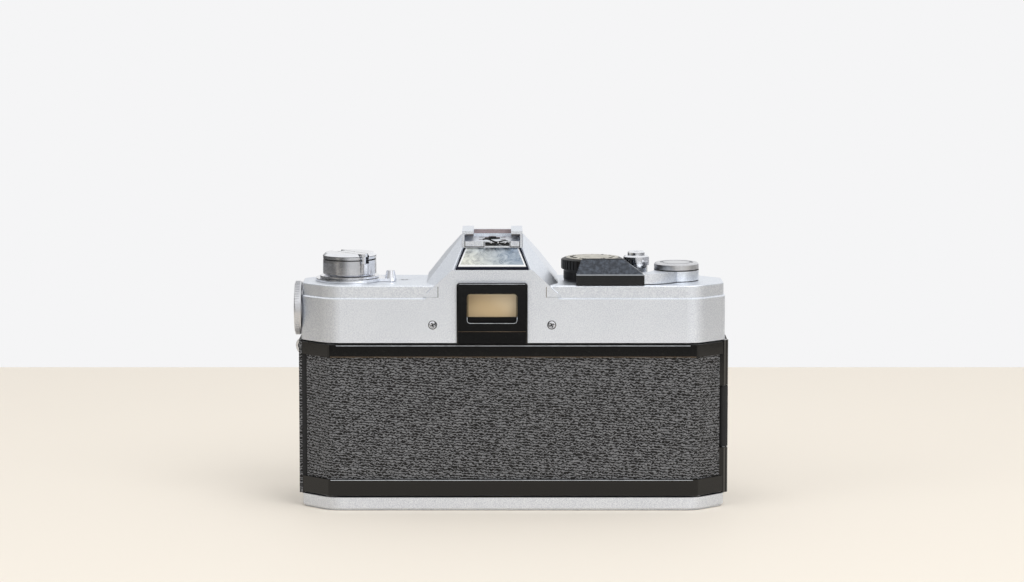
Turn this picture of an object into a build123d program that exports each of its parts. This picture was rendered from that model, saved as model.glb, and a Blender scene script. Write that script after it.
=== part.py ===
from build123d import *
from math import atan2, cos, degrees, radians, sin, sqrt, tan
import os

os.makedirs("parts", exist_ok=True)

# A 35 mm single-lens reflex film camera.
# x runs to the photographer's right, y forward along the lens axis, z up.
# The origin is the mouth of the tripod socket, straight below the lens axis.

# ------------------------------------------------------------ driving sizes
# Body envelope
left_end = 64.0  # lens axis to the rewind end
right_end = 78.0  # lens axis to the lever end
body_depth = 33.0
end_bevel = 9.5  # leg of the 45 degree bevels at both ends
cover_corner = 9.0  # radius where a cover's bevel meets its long face
cover_side = 3.5  # radius where a cover's bevel meets its end
base_height = 4.4
door_height = 51.7
cover_height = 19.2  # bottom edge of the top cover to its deck
shell = 1.1  # wall of the pressed covers
leather = 0.6
leather_proud = 0.9  # front leather and its backing, outside the covers

# Fits
seam = 0.25  # open joint between neighbouring shells
gap = 0.3  # between faces that move past each other
seat = 0.1  # all round a fixed piece in its pocket
running = 0.05  # radial clearance of a shaft in its bore

# Optics
lens_z = 33.5  # lens axis above the base
film_depth = 5.5  # rear face to the film
flange_distance = 42.0  # film to lens mount
barrel_radius = 26.0  # the lens's fixed tube, which sets its rings, mount and throat
frame_width = 36.0
frame_height = 24.0

# Film path
chamber_radius = 12.9
chamber_low = 8.0
chamber_high = 54.6
rewind_inset = 16.0  # body's ends to the rewind and take-up axes
lever_inset = 16.1
sprocket_x = 40.0
sprocket_depth = 4.8  # film to the sprocket's axis

# Worked-out levels and planes
rear_y = -body_depth / 2
front_y = body_depth / 2
film_y = rear_y + film_depth
rewind_x = rewind_inset - left_end
lever_x = right_end - lever_inset
sprocket_y = film_y + sprocket_depth
door_low = base_height + seam
door_high = door_low + door_height
cover_low = door_high + seam
deck_z = cover_low + cover_height
mount_y = film_y + flange_distance
lens_plane = Plane(origin=(0, 0, lens_z), x_dir=(-1, 0, 0), z_dir=(0, 1, 0))


# ------------------------------------------------------------ drawing helpers
def upright(x, y, turn=0.0):
    """Plane on a vertical axis, with its x turned about that axis."""
    return Plane(origin=(x, y, 0), x_dir=(cos(radians(turn)), sin(radians(turn)), 0), z_dir=(0, 0, 1))


def body_plan(inset, corner, side):
    """Bevelled outline of the body, drawn in by inset, with its corners rounded."""
    x0, x1, y1 = inset - left_end, right_end - inset, front_y - inset
    bevel = end_bevel - inset * (2 - sqrt(2))
    with BuildSketch(mode=Mode.PRIVATE) as plan:
        with BuildLine():
            Polyline(
                (x0 + bevel, -y1), (x1 - bevel, -y1), (x1, bevel - y1), (x1, y1 - bevel),
                (x1 - bevel, y1), (x0 + bevel, y1), (x0, y1 - bevel), (x0, bevel - y1),
                close=True,
            )
        make_face()
        long_faces = vertices().group_by(Axis.Y)
        fillet(long_faces[0] + long_faces[-1], corner)
        ends = vertices().group_by(Axis.X)
        fillet(ends[0] + ends[-1], side)
    return plan.sketch


def slab(plan, low, high, mode=Mode.ADD):
    """Extrude a plan between two heights."""
    extrude(Plane.XY.offset(low) * plan, amount=high - low, mode=mode)


def block(x, y, z, mode=Mode.ADD):
    """Box between pairs of x, y and z limits."""
    with BuildSketch(Plane.XY.offset(z[0])) as floor:
        with Locations(((x[0] + x[1]) / 2, (y[0] + y[1]) / 2)):
            Rectangle(x[1] - x[0], y[1] - y[0])
    extrude(floor.sketch, amount=z[1] - z[0], mode=mode)


def disc(plane, radius, low, high, mode=Mode.ADD):
    """Round boss or bore on the plane's normal, between two heights along it."""
    with BuildSketch(plane.offset(low)) as round_face:
        Circle(radius)
    extrude(round_face.sketch, amount=high - low, mode=mode)


def turned(plane, outline, mode=Mode.ADD):
    """Revolve an outline of (radius, height) points about the plane's normal."""
    with BuildSketch(Plane(origin=plane.origin, x_dir=plane.x_dir, z_dir=-plane.y_dir)) as half:
        with BuildLine():
            Polyline(*outline, close=True)
        make_face()
    revolve(half.sketch, axis=Axis(plane.origin, plane.z_dir), mode=mode)


def profile_x(points, low, high, mode=Mode.ADD):
    """Extrude an outline of (y, z) points between two x limits."""
    with BuildSketch(Plane.YZ.offset(low)) as side:
        with BuildLine():
            Polyline(*points, close=True)
        make_face()
    extrude(side.sketch, amount=high - low, mode=mode)


def save(builder, name):
    """Label a finished piece and write it."""
    builder.part.label = name
    export_step(builder.part, f"parts/{name}.step")


# ------------------------------------------------------------ base
base_inset = 0.25
base_edge = 0.8
bush_radius = 6.5
bush_top = 9.0
socket_radius = 3.175  # quarter-inch tripod thread
socket_depth = 6.0
base_screw_run = 13.0  # body's ends to the screws nearest them
base_screw_side = 6.8  # body's faces to the screws
base_screw_middle = 20.0
base_screw_front = front_y - base_screw_side
base_screw_rear = rear_y + base_screw_side
base_screw_spots = [
    (base_screw_run - left_end, base_screw_front), (base_screw_run - left_end, base_screw_rear),
    (base_screw_middle, base_screw_front), (right_end - 1.5 * base_screw_run, base_screw_front),
    (right_end - 1.7 * base_screw_run, base_screw_rear),
]
base_screw_head = 1.8
base_screw_shank = 0.8
base_screw_top = 7.4
screw_head_height = 0.9
release_pin_radius = 2.3
release_pin_top = 7.2
release_pin_floor = 0.4

with BuildPart() as base_cover:
    slab(body_plan(base_inset, cover_corner, cover_side), 0, base_height)
    chamfer(faces().sort_by(Axis.Z)[0].edges(), base_edge)
    tray = body_plan(base_inset + shell, cover_corner - shell, cover_side - shell)
    slab(tray, shell, base_height, Mode.SUBTRACT)
    disc(upright(0, 0), bush_radius + seat, 0, shell, Mode.SUBTRACT)
    disc(upright(sprocket_x, sprocket_y), release_pin_radius + running, 0, shell, Mode.SUBTRACT)
    for spot in base_screw_spots:
        disc(upright(*spot), base_screw_head + seat, 0, screw_head_height + seat)
        disc(upright(*spot), base_screw_head + 2 * seat + shell, shell, base_height)
        disc(upright(*spot), base_screw_shank + seat, 0, base_height, Mode.SUBTRACT)
        disc(upright(*spot), base_screw_head + seat, 0, screw_head_height, Mode.SUBTRACT)
save(base_cover, "base_cover")

with BuildPart() as base_screws:
    for spot in base_screw_spots:
        disc(upright(*spot), base_screw_head, seat, screw_head_height)
        disc(upright(*spot), base_screw_shank, screw_head_height, base_screw_top)
save(base_screws, "base_screws")

with BuildPart() as tripod_bush:
    disc(upright(0, 0), bush_radius, 0, bush_top)
    disc(upright(0, 0), socket_radius, 0, socket_depth, Mode.SUBTRACT)
save(tripod_bush, "tripod_bush")

# ------------------------------------------------------------ body castings
door_wall = 2.6
door_edge_y = rear_y + end_bevel - gap  # the door stops at the corner of its bevels
chassis_corner = 1.2
frame_lip_y = rear_y + door_wall + gap  # rear faces of the rims that the door closes on
channel_depth = 3.2  # rims to the plate between the film rails
channel_y = frame_lip_y + channel_depth
rail_width = 1.2
inner_rail_y = film_y
outer_rail_y = film_y - 0.25
rail_offset = 0.8  # picture edge to inner rail
outer_rail_offset = 5.6
rail_reach = 33.0
box_half = 21.2  # mirror box, half its width
box_low = 14.0
box_rear = film_y + 3.6
drum_x = 27.5
drum_y = film_y + 5.25
drum_radius = 2.8
drum_low, drum_high = 12.5, 54.0
drum_foot = 2.0  # the spindles' length below their drums
curtain_thickness = 0.3
curtain_y = drum_y - drum_radius  # front face of the curtain between its drums
sprocket_radius = 6.05
spool_radius = 6.4
hinge_x = right_end - 0.4
hinge_y = door_edge_y + 2.1
knuckle_radius = 1.6
pin_radius = 0.8
knuckle_low, knuckle_high = 20.3, 40.7  # the castings' own knuckle, in the middle
latch_x = rewind_x - 3.5
latch_y = rear_y + 4.6
latch_pin_radius = 1.0
latch_tab_half = 2.0
latch_tab_z = 55.1
latch_tab_height = 0.9
rewind_shaft_radius = 2.4
timer_x, timer_z = 38.5, 44.0
timer_shaft_radius = 1.6
timer_shaft_depth = 4.0

with BuildPart() as body_casting:
    slab(body_plan(0, chassis_corner, chassis_corner), base_height, cover_low)
    # the back door's room, behind the ends of the front leather
    with BuildSketch(Plane.XY.offset(base_height)) as door_room:
        with Locations(((right_end - left_end) / 2, rear_y)):
            Rectangle(left_end + right_end + body_depth, 2 * (door_edge_y + gap - rear_y))
        add(body_plan(door_wall + gap, chassis_corner, chassis_corner), mode=Mode.SUBTRACT)
    extrude(door_room.sketch, amount=cover_low - base_height, mode=Mode.SUBTRACT)
    hinge_line = upright(hinge_x, hinge_y)
    block(
        (hinge_x - knuckle_radius - 2 * gap, 2 * right_end), (rear_y, hinge_y), (base_height, cover_low),
        Mode.SUBTRACT,
    )
    disc(hinge_line, knuckle_radius + gap, base_height, cover_low, Mode.SUBTRACT)
    disc(hinge_line, knuckle_radius, knuckle_low, knuckle_high)
    block(
        (hinge_x - knuckle_radius - 2 * gap, hinge_x), (hinge_y, hinge_y + knuckle_radius + 2 * gap),
        (knuckle_low, knuckle_high),
    )
    disc(hinge_line, pin_radius + running, base_height, cover_low, Mode.SUBTRACT)
    # film channel across the rear, chambers at its ends, recess for the sprocket
    chambers = (chamber_low, chamber_high)
    block(
        (rewind_x - chamber_radius, lever_x + chamber_radius - 2 * gap), (rear_y, channel_y),
        chambers, Mode.SUBTRACT,
    )
    for chamber_x in (rewind_x, lever_x):
        disc(upright(chamber_x, 0), chamber_radius - gap, *chambers, Mode.SUBTRACT)
        block(
            (chamber_x - chamber_radius + gap, chamber_x + chamber_radius - gap),
            (channel_y, 0), chambers, Mode.SUBTRACT,
        )
    disc(upright(sprocket_x, sprocket_y), sprocket_radius + 2 * gap, *chambers, Mode.SUBTRACT)
    # film rails
    for side in (-1, 1):
        inner = lens_z + side * (frame_height / 2 + rail_offset + rail_width / 2)
        outer = lens_z + side * (frame_height / 2 + outer_rail_offset + rail_width / 2)
        for rail_z, rail_y in ((inner, inner_rail_y), (outer, outer_rail_y)):
            block(
                (-rail_reach, rail_reach), (rail_y, channel_y),
                (rail_z - rail_width / 2, rail_z + rail_width / 2),
            )
    # picture gate, slot for the curtain, wells for its drums, well for the mirror box
    gate_z = (lens_z - frame_height / 2, lens_z + frame_height / 2)
    block((-frame_width / 2, frame_width / 2), (rear_y, 0), gate_z, Mode.SUBTRACT)
    block(
        (-drum_x, drum_x), (curtain_y - curtain_thickness - gap, curtain_y + gap),
        (drum_low - gap, cover_low), Mode.SUBTRACT,
    )
    for side in (-1, 1):
        drum_axis = upright(side * drum_x, drum_y)
        disc(drum_axis, drum_radius + 2 * gap, drum_low - gap, cover_low, Mode.SUBTRACT)
        disc(drum_axis, pin_radius + seat, drum_low - drum_foot, cover_low, Mode.SUBTRACT)
    block(
        (-box_half - seat, box_half + seat), (box_rear - seat, front_y), (box_low - seat, cover_low),
        Mode.SUBTRACT,
    )
    # bottom: tripod bush, rewind release, base screws
    disc(upright(0, 0), bush_radius + seat, base_height, bush_top + seat, Mode.SUBTRACT)
    sprocket_axis = upright(sprocket_x, sprocket_y)
    disc(sprocket_axis, release_pin_radius + running, base_height, chamber_low, Mode.SUBTRACT)
    for spot in base_screw_spots:
        disc(upright(*spot), base_screw_shank + seat, base_height, base_screw_top + seat, Mode.SUBTRACT)
    # top: rewind shaft, take-up and sprocket shafts, latch pin and the pocket for the door's tab
    disc(upright(rewind_x, 0), rewind_shaft_radius + running, chamber_high, cover_low, Mode.SUBTRACT)
    disc(upright(lever_x, 0), rewind_shaft_radius + running, chamber_high, cover_low, Mode.SUBTRACT)
    disc(sprocket_axis, pin_radius + running, chamber_high, cover_low, Mode.SUBTRACT)
    latch_axis = upright(latch_x, latch_y)
    disc(latch_axis, latch_pin_radius + 2 * seat, latch_tab_z - gap, cover_low, Mode.SUBTRACT)
    block(
        (latch_x - latch_tab_half - 2 * gap, latch_x + latch_tab_half + 2 * gap),
        (rear_y, latch_y + latch_tab_half + gap),
        (latch_tab_z - gap, latch_tab_z + latch_tab_height + gap), Mode.SUBTRACT,
    )
    timer_plane = Plane(origin=(timer_x, 0, timer_z), x_dir=(-1, 0, 0), z_dir=(0, 1, 0))
    timer_bore_end = front_y - timer_shaft_depth - gap
    disc(timer_plane, timer_shaft_radius + running, timer_bore_end, front_y, Mode.SUBTRACT)

# Three castings bolted together: the cassette's end, the picture gate and the spool's end
casting_seam = rail_reach + gap
castings = [
    ("cassette_end", -2 * left_end, -casting_seam), ("gate_frame", -casting_seam, casting_seam),
    ("spool_end", casting_seam, 2 * right_end),
]
for casting_name, casting_left, casting_right in castings:
    with BuildPart() as casting:
        add(body_casting.part)
        block((casting_left, casting_right), (rear_y, body_depth), (0, cover_low), Mode.INTERSECT)
    save(casting, casting_name)

with BuildPart() as hinge_pin:
    disc(hinge_line, pin_radius, door_low, door_high)
save(hinge_pin, "hinge_pin")

# ------------------------------------------------------------ mirror box and lens mount
mount_thickness = 4.0
mount_radius = barrel_radius + 3.0
front_radius = mount_radius + 2.5
throat_radius = barrel_radius - 2.0
box_wall = 1.3
box_edge = 0.9
box_inner_half = 18.2
box_inner_rear = box_rear + box_wall
screen_z = 54.0
screen_half = 19.0
screen_rear = film_y + 7.6
screen_thickness = 1.4
box_high = cover_low
mirror_x = 17.0
mirror_pivot_y = film_y + 6.5
mirror_pivot_z = 47.5
mirror_length = 32.5
mirror_pin = 0.7
mirror_barrel = 1.2
front_plane_y = mount_y - mount_thickness
housing_front = front_plane_y - 5.0  # front face of the prism housing
screen_front = housing_front - 1.7

with BuildPart() as mirror_box:
    block((-box_half, box_half), (box_rear, front_y), (box_low, box_high))
    disc(lens_plane, front_radius, front_y, front_plane_y)
    chamfer(faces().sort_by(Axis.Y)[-1].edges(), box_edge)
    block(
        (-box_inner_half, box_inner_half), (box_inner_rear, front_plane_y - box_wall),
        (box_low + box_wall, screen_z), Mode.SUBTRACT,
    )
    disc(lens_plane, throat_radius, housing_front, front_plane_y, Mode.SUBTRACT)
    block((-frame_width / 2, frame_width / 2), (box_rear, box_inner_rear), gate_z, Mode.SUBTRACT)
    block(
        (-screen_half - seat, screen_half + seat), (screen_rear - seat, housing_front + gap),
        (screen_z, screen_z + body_depth), Mode.SUBTRACT,
    )
    pivot_plane = Plane(origin=(0, mirror_pivot_y, mirror_pivot_z), x_dir=(0, 1, 0), z_dir=(1, 0, 0))
    disc(pivot_plane, mirror_pin + running, -box_half, box_half, Mode.SUBTRACT)
save(mirror_box, "mirror_box")

with BuildPart() as lens_mount:
    disc(lens_plane, mount_radius, front_plane_y, mount_y)
    chamfer(edges().filter_by(GeomType.CIRCLE).sort_by(Axis.Y)[-1], base_edge)
    disc(lens_plane, throat_radius, front_plane_y, mount_y, Mode.SUBTRACT)
save(lens_mount, "lens_mount")

# The mirror lies at 45 degrees and swings up about the pins at its rear edge
mirror_plane = Plane(
    origin=(0, mirror_pivot_y, mirror_pivot_z), x_dir=(1, 0, 0),
    z_dir=(0, cos(radians(45)), sin(radians(45))),
)
mirror_thickness = 1.0
with BuildPart() as mirror:
    with BuildSketch(mirror_plane) as glass:
        with Locations((0, mirror_length / 2 + mirror_barrel)):
            Rectangle(2 * mirror_x, mirror_length - 2 * mirror_barrel)
    extrude(glass.sketch, amount=-mirror_thickness)
save(mirror, "mirror")

with BuildPart() as mirror_frame:
    with BuildSketch(mirror_plane.offset(-mirror_thickness)) as carrier:
        with Locations((0, mirror_length / 2)):
            Rectangle(2 * mirror_x, mirror_length)
    extrude(carrier.sketch, amount=-mirror_thickness)
    disc(pivot_plane, mirror_barrel, -mirror_x, mirror_x)
    disc(pivot_plane, mirror_pin, -box_half + seat, box_half - seat)
    with BuildSketch(mirror_plane) as glass_room:
        with Locations((0, mirror_length / 2 + mirror_barrel)):
            Rectangle(2 * mirror_x, mirror_length - 2 * mirror_barrel)
    extrude(glass_room.sketch, amount=-mirror_thickness, mode=Mode.SUBTRACT)
save(mirror_frame, "mirror_frame")

with BuildPart() as focusing_screen:
    block((-screen_half, screen_half), (screen_rear, screen_front), (screen_z, screen_z + screen_thickness))
save(focusing_screen, "focusing_screen")

# ------------------------------------------------------------ shutter and film transport
with BuildPart() as curtain_drums:
    for side in (-1, 1):
        disc(upright(side * drum_x, drum_y), drum_radius, drum_low, drum_high)
        disc(upright(side * drum_x, drum_y), pin_radius, drum_low - drum_foot, cover_low - seat)
save(curtain_drums, "curtain_drums")

curtain_margin = 4.5
with BuildPart() as shutter_curtain:
    block(
        (-drum_x, drum_x), (curtain_y - curtain_thickness, curtain_y),
        (gate_z[0] - curtain_margin, gate_z[1] + curtain_margin),
    )
save(shutter_curtain, "shutter_curtain")

tooth_height = 1.0
tooth_width = 1.1
tooth_count = 8
tooth_taper = 12.0
perforation_offset = 14.1  # film centre to the middle of each perforation row
waist_radius = 4.6
with BuildPart() as sprocket:
    core = sprocket_radius - tooth_height
    turned(sprocket_axis, [
        (0, chamber_low + gap), (core, chamber_low + gap),
        (core, lens_z - perforation_offset + 2 * tooth_width),
        (waist_radius, lens_z - perforation_offset + 4 * tooth_width),
        (waist_radius, lens_z + perforation_offset - 4 * tooth_width),
        (core, lens_z + perforation_offset - 2 * tooth_width),
        (core, chamber_high - gap), (pin_radius, chamber_high - gap),
        (pin_radius, cover_low - seat), (0, cover_low - seat),
    ])
    for row in (-1, 1):
        with BuildSketch(Plane.XY.offset(lens_z + row * perforation_offset - tooth_width)) as teeth:
            with Locations((sprocket_x, sprocket_y)):
                with PolarLocations(core - seat, tooth_count):
                    Rectangle(2 * tooth_height, 2 * tooth_width)
        extrude(teeth.sketch, amount=2 * tooth_width, taper=tooth_taper)
save(sprocket, "sprocket")

spool_slots = 6
spool_slot_width = 1.6
spool_flange = 8.2
spool_flange_height = 2.0
with BuildPart() as takeup_spool:
    spool_axis = upright(lever_x, 0)
    disc(spool_axis, spool_radius, chamber_low + gap, chamber_high - gap)
    disc(spool_axis, spool_flange, chamber_low + gap, chamber_low + gap + spool_flange_height)
    disc(spool_axis, rewind_shaft_radius, chamber_high - gap, cover_low - seat)
    with BuildSketch(Plane.XY.offset(gate_z[0])) as slots:
        with Locations((lever_x, 0)):
            with PolarLocations(spool_radius, spool_slots):
                Rectangle(spool_radius / 2, spool_slot_width)
    extrude(slots.sketch, amount=frame_height, mode=Mode.SUBTRACT)
save(takeup_spool, "takeup_spool")

with BuildPart() as rewind_release:
    pin_axis = upright(sprocket_x, sprocket_y)
    disc(pin_axis, release_pin_radius, release_pin_floor, release_pin_top)
    chamfer(edges().sort_by(Axis.Z)[0], gap)
save(rewind_release, "rewind_release")

# ------------------------------------------------------------ back door
rim_low = 5.85  # height of the glossy rim along the bottom
rim_high = 4.6
rim_bevel = 0.5
leather_bed = 1.2  # the leather's bed, behind the rims' faces
door_corner = 1.4

with BuildPart() as back_door:
    slab(body_plan(0, door_corner, door_corner), door_low, door_high)
    chamfer(faces().sort_by(Axis.Z)[-1].edges() + faces().sort_by(Axis.Z)[0].edges(), rim_bevel)
    with BuildSketch(Plane.XY.offset(door_low + rim_low)) as bed:
        Rectangle(4 * right_end, 4 * body_depth)
        add(body_plan(leather_bed, door_corner, door_corner), mode=Mode.SUBTRACT)
    extrude(bed.sketch, amount=door_height - rim_low - rim_high, mode=Mode.SUBTRACT)
    slab(body_plan(door_wall, door_corner, door_corner), door_low, door_high, Mode.SUBTRACT)
    block(
        (-2 * left_end, 2 * right_end), (door_edge_y, body_depth), (door_low, door_high), Mode.SUBTRACT
    )
    # knuckles round the hinge pin, above and below the castings' own
    for low, high in ((door_low, knuckle_low - gap), (knuckle_high + gap, door_high)):
        disc(hinge_line, knuckle_radius, low, high)
        with BuildSketch(Plane.XY.offset(low)) as web:
            with BuildLine():
                Polyline(
                    (hinge_x + knuckle_radius, hinge_y), (hinge_x - knuckle_radius, hinge_y),
                    (hinge_x - knuckle_radius, door_edge_y - gap), (right_end - seam, door_edge_y - gap),
                    close=True,
                )
            make_face()
        extrude(web.sketch, amount=high - low)
        disc(hinge_line, pin_radius + running, low, high, Mode.SUBTRACT)
    # tab that the latch pin holds
    block(
        (latch_x - latch_tab_half, latch_x + latch_tab_half),
        (rear_y + door_wall - seat, latch_y + latch_tab_half),
        (latch_tab_z, latch_tab_z + latch_tab_height),
    )
    disc(
        upright(latch_x, latch_y), latch_pin_radius + 2 * seat, latch_tab_z, latch_tab_z + latch_tab_height,
        Mode.SUBTRACT,
    )
save(back_door, "back_door")

with BuildPart() as door_leather:
    skin_low, skin_high = door_low + rim_low + seat, door_high - rim_high - seat
    slab(body_plan(leather_bed - leather, door_corner, door_corner), skin_low, skin_high)
    slab(body_plan(leather_bed, door_corner, door_corner), skin_low, skin_high, Mode.SUBTRACT)
    block(
        (-2 * left_end, 2 * right_end), (door_edge_y - 2 * gap, body_depth), (skin_low, skin_high),
        Mode.SUBTRACT,
    )
save(door_leather, "door_leather")

plate_half = 28.0
plate_height = 34.0
plate_thickness = 1.1
plate_corner = 4.0
plate_y = outer_rail_y - seat  # face towards the film
spring_thickness = 0.3
with BuildPart() as pressure_plate:
    block(
        (-plate_half, plate_half), (plate_y - plate_thickness, plate_y),
        (lens_z - plate_height / 2, lens_z + plate_height / 2),
    )
    fillet(edges().filter_by(Axis.Y), plate_corner)
save(pressure_plate, "pressure_plate")

# Leaf spring bowed between the door and the pressure plate
door_inner_y = rear_y + door_wall
spring_half = 20.0
spring_width = 9.0
spring_end = plate_y - plate_thickness - gap
spring_back = spring_end - spring_thickness
with BuildPart() as pressure_spring:
    with BuildSketch(Plane.XY.offset(lens_z - spring_width / 2)) as leaf:
        with BuildLine():
            ThreePointArc(
                (-spring_half, spring_end), (0, door_inner_y + spring_thickness), (spring_half, spring_end)
            )
            Line((spring_half, spring_end), (spring_half, spring_back))
            ThreePointArc((spring_half, spring_back), (0, door_inner_y), (-spring_half, spring_back))
            Line((-spring_half, spring_back), (-spring_half, spring_end))
        make_face()
    extrude(leaf.sketch, amount=spring_width)
save(pressure_spring, "pressure_spring")

# ------------------------------------------------------------ front leather and fittings
leather_left_y = door_edge_y + gap
leather_right_y = hinge_y + knuckle_radius + 2 * gap
leather_low = base_height + seam
with BuildPart() as front_leather:
    slab(body_plan(-leather_proud, chassis_corner, chassis_corner), leather_low, door_high)
    slab(body_plan(0, chassis_corner, chassis_corner), leather_low, door_high, Mode.SUBTRACT)
    block(
        (-2 * left_end, 0), (-body_depth, leather_left_y), (leather_low, door_high), Mode.SUBTRACT
    )
    block(
        (0, 2 * right_end), (-body_depth, leather_right_y), (leather_low, door_high), Mode.SUBTRACT
    )
    disc(lens_plane, front_radius + seat, 0, body_depth, Mode.SUBTRACT)
    block(
        (-front_radius / 2, front_radius / 2), (0, body_depth), (leather_low, door_high), Mode.SUBTRACT
    )
    disc(timer_plane, timer_shaft_radius + running, 0, body_depth, Mode.SUBTRACT)
save(front_leather, "front_leather")

timer_hub = 4.8
timer_hub_height = 3.2
timer_arm = 21.0
timer_arm_half = 2.9
timer_edge = 1.0
timer_face_y = front_y + leather_proud + gap
timer_hub_y = timer_face_y + timer_hub_height
with BuildPart() as self_timer_lever:
    disc(timer_plane, timer_shaft_radius, front_y - timer_shaft_depth, timer_face_y)
    turned(timer_plane, [
        (0, timer_face_y), (timer_hub, timer_face_y), (timer_hub, timer_hub_y - timer_edge),
        (timer_hub - timer_edge, timer_hub_y), (0, timer_hub_y),
    ])
    with BuildSketch(timer_plane.offset(timer_face_y)) as arm:
        with BuildLine():
            Polyline(
                (-timer_arm_half, 0), (timer_arm_half, 0), (timer_arm_half - timer_edge, -timer_arm),
                (timer_edge - timer_arm_half, -timer_arm), close=True,
            )
        make_face()
        fillet(vertices().group_by(Axis.Y)[0], timer_edge)
    extrude(arm.sketch, amount=timer_hub_height - timer_edge)
save(self_timer_lever, "self_timer_lever")

sync_x, sync_z = -38.0, 47.0
sync_radius = 3.6
sync_bore = 1.75
sync_height = 1.8
sync_plane = Plane(origin=(sync_x, 0, sync_z), x_dir=(-1, 0, 0), z_dir=(0, 1, 0))
with BuildPart() as sync_socket:
    sync_face = front_y + leather_proud
    disc(sync_plane, sync_radius, sync_face, sync_face + sync_height)
    disc(sync_plane, sync_bore, sync_face + gap, sync_face + sync_height, Mode.SUBTRACT)
save(sync_socket, "sync_socket")

lug_radius = 2.55
lug_hole = 1.5
lug_thickness = 1.6
lug_z = 52.0
lug_reach = 2.6  # bevel surface to the eyelet's centre
lug_left_run, lug_right_run = 2.6, 6.8  # along each bevel, from the body's end
bevel_y = front_y - end_bevel
lug_spots = [
    (lug_left_run / sqrt(2) - left_end, bevel_y + lug_left_run / sqrt(2), 135),
    (right_end - lug_right_run / sqrt(2), bevel_y + lug_right_run / sqrt(2), 45),
]
with BuildPart() as strap_lugs:
    for lug_x, lug_y, outward in lug_spots:
        out = Vector(cos(radians(outward)), sin(radians(outward)), 0)
        foot = Vector(lug_x, lug_y, lug_z) + out * leather_proud
        eyelet = Plane(origin=foot + out * lug_reach, x_dir=(0, 0, 1), z_dir=(-out.Y, out.X, 0))
        with BuildSketch(eyelet.offset(-lug_thickness / 2)) as ear:
            Circle(lug_radius)
            with Locations((0, -lug_reach / 2)):
                Rectangle(2 * lug_radius, lug_reach)
            Circle(lug_hole, mode=Mode.SUBTRACT)
        extrude(ear.sketch, amount=lug_thickness)
save(strap_lugs, "strap_lugs")

# ------------------------------------------------------------ top cover
ledge_z = deck_z - 4.2  # above this the cover steps in
ledge_inset = 0.5
deck_edge = 0.5
ledge_edge = 0.4
plinth_half = 18.2  # rear block of the housing, flush with the lower wall
shoulder_half = 13.3  # top corners of the housing's rear face
plinth_top = deck_z + 0.7
shoulder_z = deck_z + 5.2
roof_z = deck_z + 14.4
roof_half = 10.5
flank_angle = 51.5
slope_length = 12.1  # rear slope, up to the shoe
slope_angle = 32.0
housing_half = roof_half + (roof_z - deck_z) / tan(radians(flank_angle))
slope_y = rear_y + slope_length * cos(radians(slope_angle))
shoe_floor = shoulder_z + slope_length * sin(radians(slope_angle))
roof_rear = slope_y + (roof_z - shoe_floor) / tan(radians(slope_angle))
roof_front = front_y - 4.1
brow_z = deck_z + 8.0  # front face's top edge
eyepiece_half = 11.8
eyepiece_top = 76.8
window_half = 8.4
window_low, window_high = 63.3, 73.2
glass_half = 7.9  # opening of the mask at the foot of the window's funnel
glass_low, glass_high = 65.1, 72.7
mask_thickness = 0.8
tunnel = 1.3  # eyepiece frame's wall round its window
dial_x = 33.6
release_x, release_y = 48.5, 4.0
release_shaft = 1.5
dial_shaft = 2.0
hub_shaft = 2.5
counter_x, counter_y = lever_x + 0.6, 11.9
counter_window_radius = 2.6
battery_z = deck_z - 9.35
battery_boss = 6.0
cover_screw_x = 19.8
cover_screw_z = 62.6
cover_screw_shank = 0.7
cover_screw_head = 1.25
front_arc = front_radius + gap

# Rear slope's plate
plate_bed_depth = 0.6
plate_margin = 0.35
plate_side = 0.6  # plate's bed to the slope's side edges
screw_dome = 0.35
cover_screw_length = 3.6
# Cradle, prism and eyepiece
cradle_half = 18.6
cradle_front = screen_front - seat
cradle_y = rear_y + shell + ledge_inset + seat
cradle_post = 11.4
cradle_wall = 1.4
prism_low = 58.2
prism_half = 14.0
prism_rear, prism_front = film_y + film_depth - 0.5, cradle_front
prism_exit_top = 77.2
prism_crown_y, prism_crown = prism_front - 10.7, 84.0
prism_toe = 2.0  # chamfer's run under the prism's front face
prism_toe_height = 7.0
prism_rest = 1.0  # the cradle's margin under the prism
eyepiece_proud = 1.8
eyepiece_glass = 1.2
eyepiece_corner = 1.0
window_corner = 1.2
window_taper = 10.0
lens_lap = 0.8  # eyepiece glass beyond its window, each way
rib_grooves = [61.4, 59.2]
# Accessory shoe, to the standard foot
shoe_half = 10.1
shoe_wall = 0.75
shoe_mouth = 6.3
shoe_base = 1.8
shoe_lip = 1.0
shoe_stop = 1.2
shoe_front = roof_front
shoe_top = shoe_floor + 5.5
spring_leaf = 0.35
shoe_tab = 1.6
shoe_tab_left, shoe_tab_right = -2.7, 5.9
shoe_contact_y = 3.0
contact_radius = 2.6
# Rewind end
switch_z = deck_z + seat
switch_height = 0.95
switch_radius = 11.5
switch_angle = -12.0
collar_bore = 3.2
collar_neck = 8.2
collar_radius = 10.0
collar_top = deck_z + 1.8
peg_reach = 14.2
peg_base = 1.95
peg_tip = 1.35
peg_height = 2.6
knob_low = collar_top + 0.2
knob_radius = 8.95
knob_groove = deck_z + 7.1
knob_top = deck_z + 9.5
knob_edge = 0.9
crank_angle = -53.0
crank_pivot = 5.0  # knob's axis to the crank's hinge
crank_tip = 7.6  # knob's axis to the peg
crank_half = 1.7
crank_thickness = 1.0
crank_peg = 1.2
crank_peg_length = 5.0
peg_notch_depth = 3.0
fork_low = 49.0
fork_thickness = 1.2
latch_arm = 2.0
latch_collar = 4.2
latch_level = (cover_low + 2 * seat, cover_low + 1.4)
battery_cover_radius = 8.85
battery_cover_proud = 2.4
battery_face = -left_end + 3.4
battery_radius = 5.8
battery_length = 5.4
holder_radius = 7.2
holder_mouth = -left_end + 2.9
coin_slot = 1.6
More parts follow.
